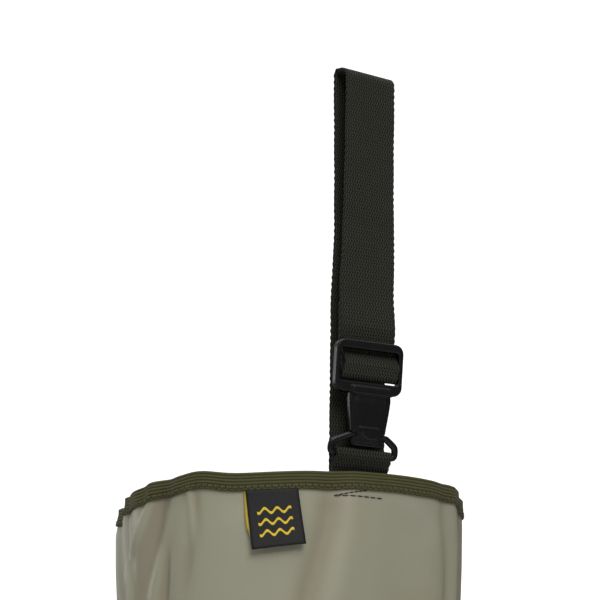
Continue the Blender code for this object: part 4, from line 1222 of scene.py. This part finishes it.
class WADER_OT_stage(Operator):
    """Set the pale floor, the soft lights and the camera that looks up at the rim"""
    bl_idname = "wader.stage"
    bl_label = "Stage"

    def execute(self, context):
        scene = context.scene
        stage = scene.wader_stage
        mesh = bmesh.new()
        bmesh.ops.create_grid(mesh, x_segments=2, y_segments=2, size=FLOOR_HALF)
        floor_mesh = bpy.data.meshes.new("floor")
        mesh.to_mesh(floor_mesh)
        mesh.free()
        graph = Graph("pale_floor")
        speckle = graph.noise(graph.object_place(), 3.0)
        floor_mesh.materials.append(graph.finish(
            base_color=graph.mix((0.80, 0.80, 0.79), (0.84, 0.84, 0.83), speckle), roughness=0.7))
        floor = bpy.data.objects.new("floor", floor_mesh)
        scene.collection.objects.link(floor)

        world = bpy.data.worlds.new("studio")
        scene.world = world
        world.use_nodes = True
        tree = world.node_tree
        backdrop = tree.nodes["Background"]
        backdrop.inputs["Color"].default_value = (1.0, 1.0, 1.0, 1.0)
        backdrop.inputs["Strength"].default_value = stage.sky
        seen = tree.nodes.new("ShaderNodeBackground")
        seen.inputs["Color"].default_value = (1.0, 1.0, 1.0, 1.0)
        seen.inputs["Strength"].default_value = SEEN_WHITE
        path = tree.nodes.new("ShaderNodeLightPath")
        choice = tree.nodes.new("ShaderNodeMixShader")
        tree.links.new(path.outputs["Is Camera Ray"], choice.inputs[0])
        tree.links.new(backdrop.outputs[0], choice.inputs[1])
        tree.links.new(seen.outputs[0], choice.inputs[2])
        tree.links.new(choice.outputs[0], tree.nodes["World Output"].inputs["Surface"])

        towards = Vector((
            math.sin(stage.azimuth) * math.cos(stage.elevation),
            -math.cos(stage.azimuth) * math.cos(stage.elevation),
            math.sin(stage.elevation)))
        right = UP.cross(towards).normalized()
        rim = Vector((scene.wader_leg.collar_middle, 0.0, scene.wader_leg.rim_height))
        aim = rim + UP * stage.aim_above_rim + right * stage.aim_aside
        for name, offset, size, share in LIGHTS:
            self.light(scene, name, aim, towards, right, offset, size, stage.key_power * share)
        self.light(scene, "top", aim, towards, right, TOP_OFFSET, TOP_SIZE, stage.top_power)

        data = bpy.data.cameras.new("camera")
        data.lens = data.sensor_width * stage.distance / stage.view_width
        data.clip_end = 50.0
        camera = bpy.data.objects.new("camera", data)
        camera.location = aim + towards * stage.distance
        camera.rotation_euler = towards.to_track_quat("Z", "Y").to_euler()
        scene.collection.objects.link(camera)
        scene.camera = camera
        scene.view_settings.view_transform = "Standard"
        return {"FINISHED"}

    def light(self, scene, name, aim, towards, right, offset, size, power):
        """A soft square light; its offset is to the right, up and towards the camera."""
        level = Vector((towards.x, towards.y, 0.0)).normalized()
        data = bpy.data.lights.new(name, "AREA")
        data.size = size
        data.energy = power
        lamp = bpy.data.objects.new(name, data)
        lamp.location = aim + right * offset[0] + UP * offset[1] + level * offset[2]
        lamp.rotation_euler = (lamp.location - aim).to_track_quat("Z", "Y").to_euler()
        scene.collection.objects.link(lamp)


OPERATORS = (
    WADER_OT_sole, WADER_OT_boot, WADER_OT_leg, WADER_OT_binding, WADER_OT_label, WADER_OT_webbing,
    WADER_OT_stitches, WADER_OT_buckle, WADER_OT_stage,
)


class WADER_PT_panel(Panel):
    """Lists the wader's pieces and their settings"""
    bl_label = "Hip Wader"
    bl_idname = "WADER_PT_panel"
    bl_space_type = "VIEW_3D"
    bl_region_type = "UI"
    bl_category = "Hip Wader"

    def draw(self, context):
        for operator in OPERATORS:
            self.layout.operator(operator.bl_idname)
        for key, group in SETTINGS.items():
            box = self.layout.box()
            for name in group.__annotations__:
                box.prop(getattr(context.scene, key), name)


def register():
    for group in SETTINGS.values():
        bpy.utils.register_class(group)
    for key, group in SETTINGS.items():
        setattr(bpy.types.Scene, key, PointerProperty(type=group))
    for item in OPERATORS + (WADER_PT_panel,):
        bpy.utils.register_class(item)


def unregister():
    for item in reversed(OPERATORS + (WADER_PT_panel,)):
        bpy.utils.unregister_class(item)
    for key in SETTINGS:
        delattr(bpy.types.Scene, key)
    for group in reversed(list(SETTINGS.values())):
        bpy.utils.unregister_class(group)


def main():
    register()
    for operator in OPERATORS:
        group, name = operator.bl_idname.split(".")
        getattr(getattr(bpy.ops, group), name)()


if __name__ == "__main__":
    main()
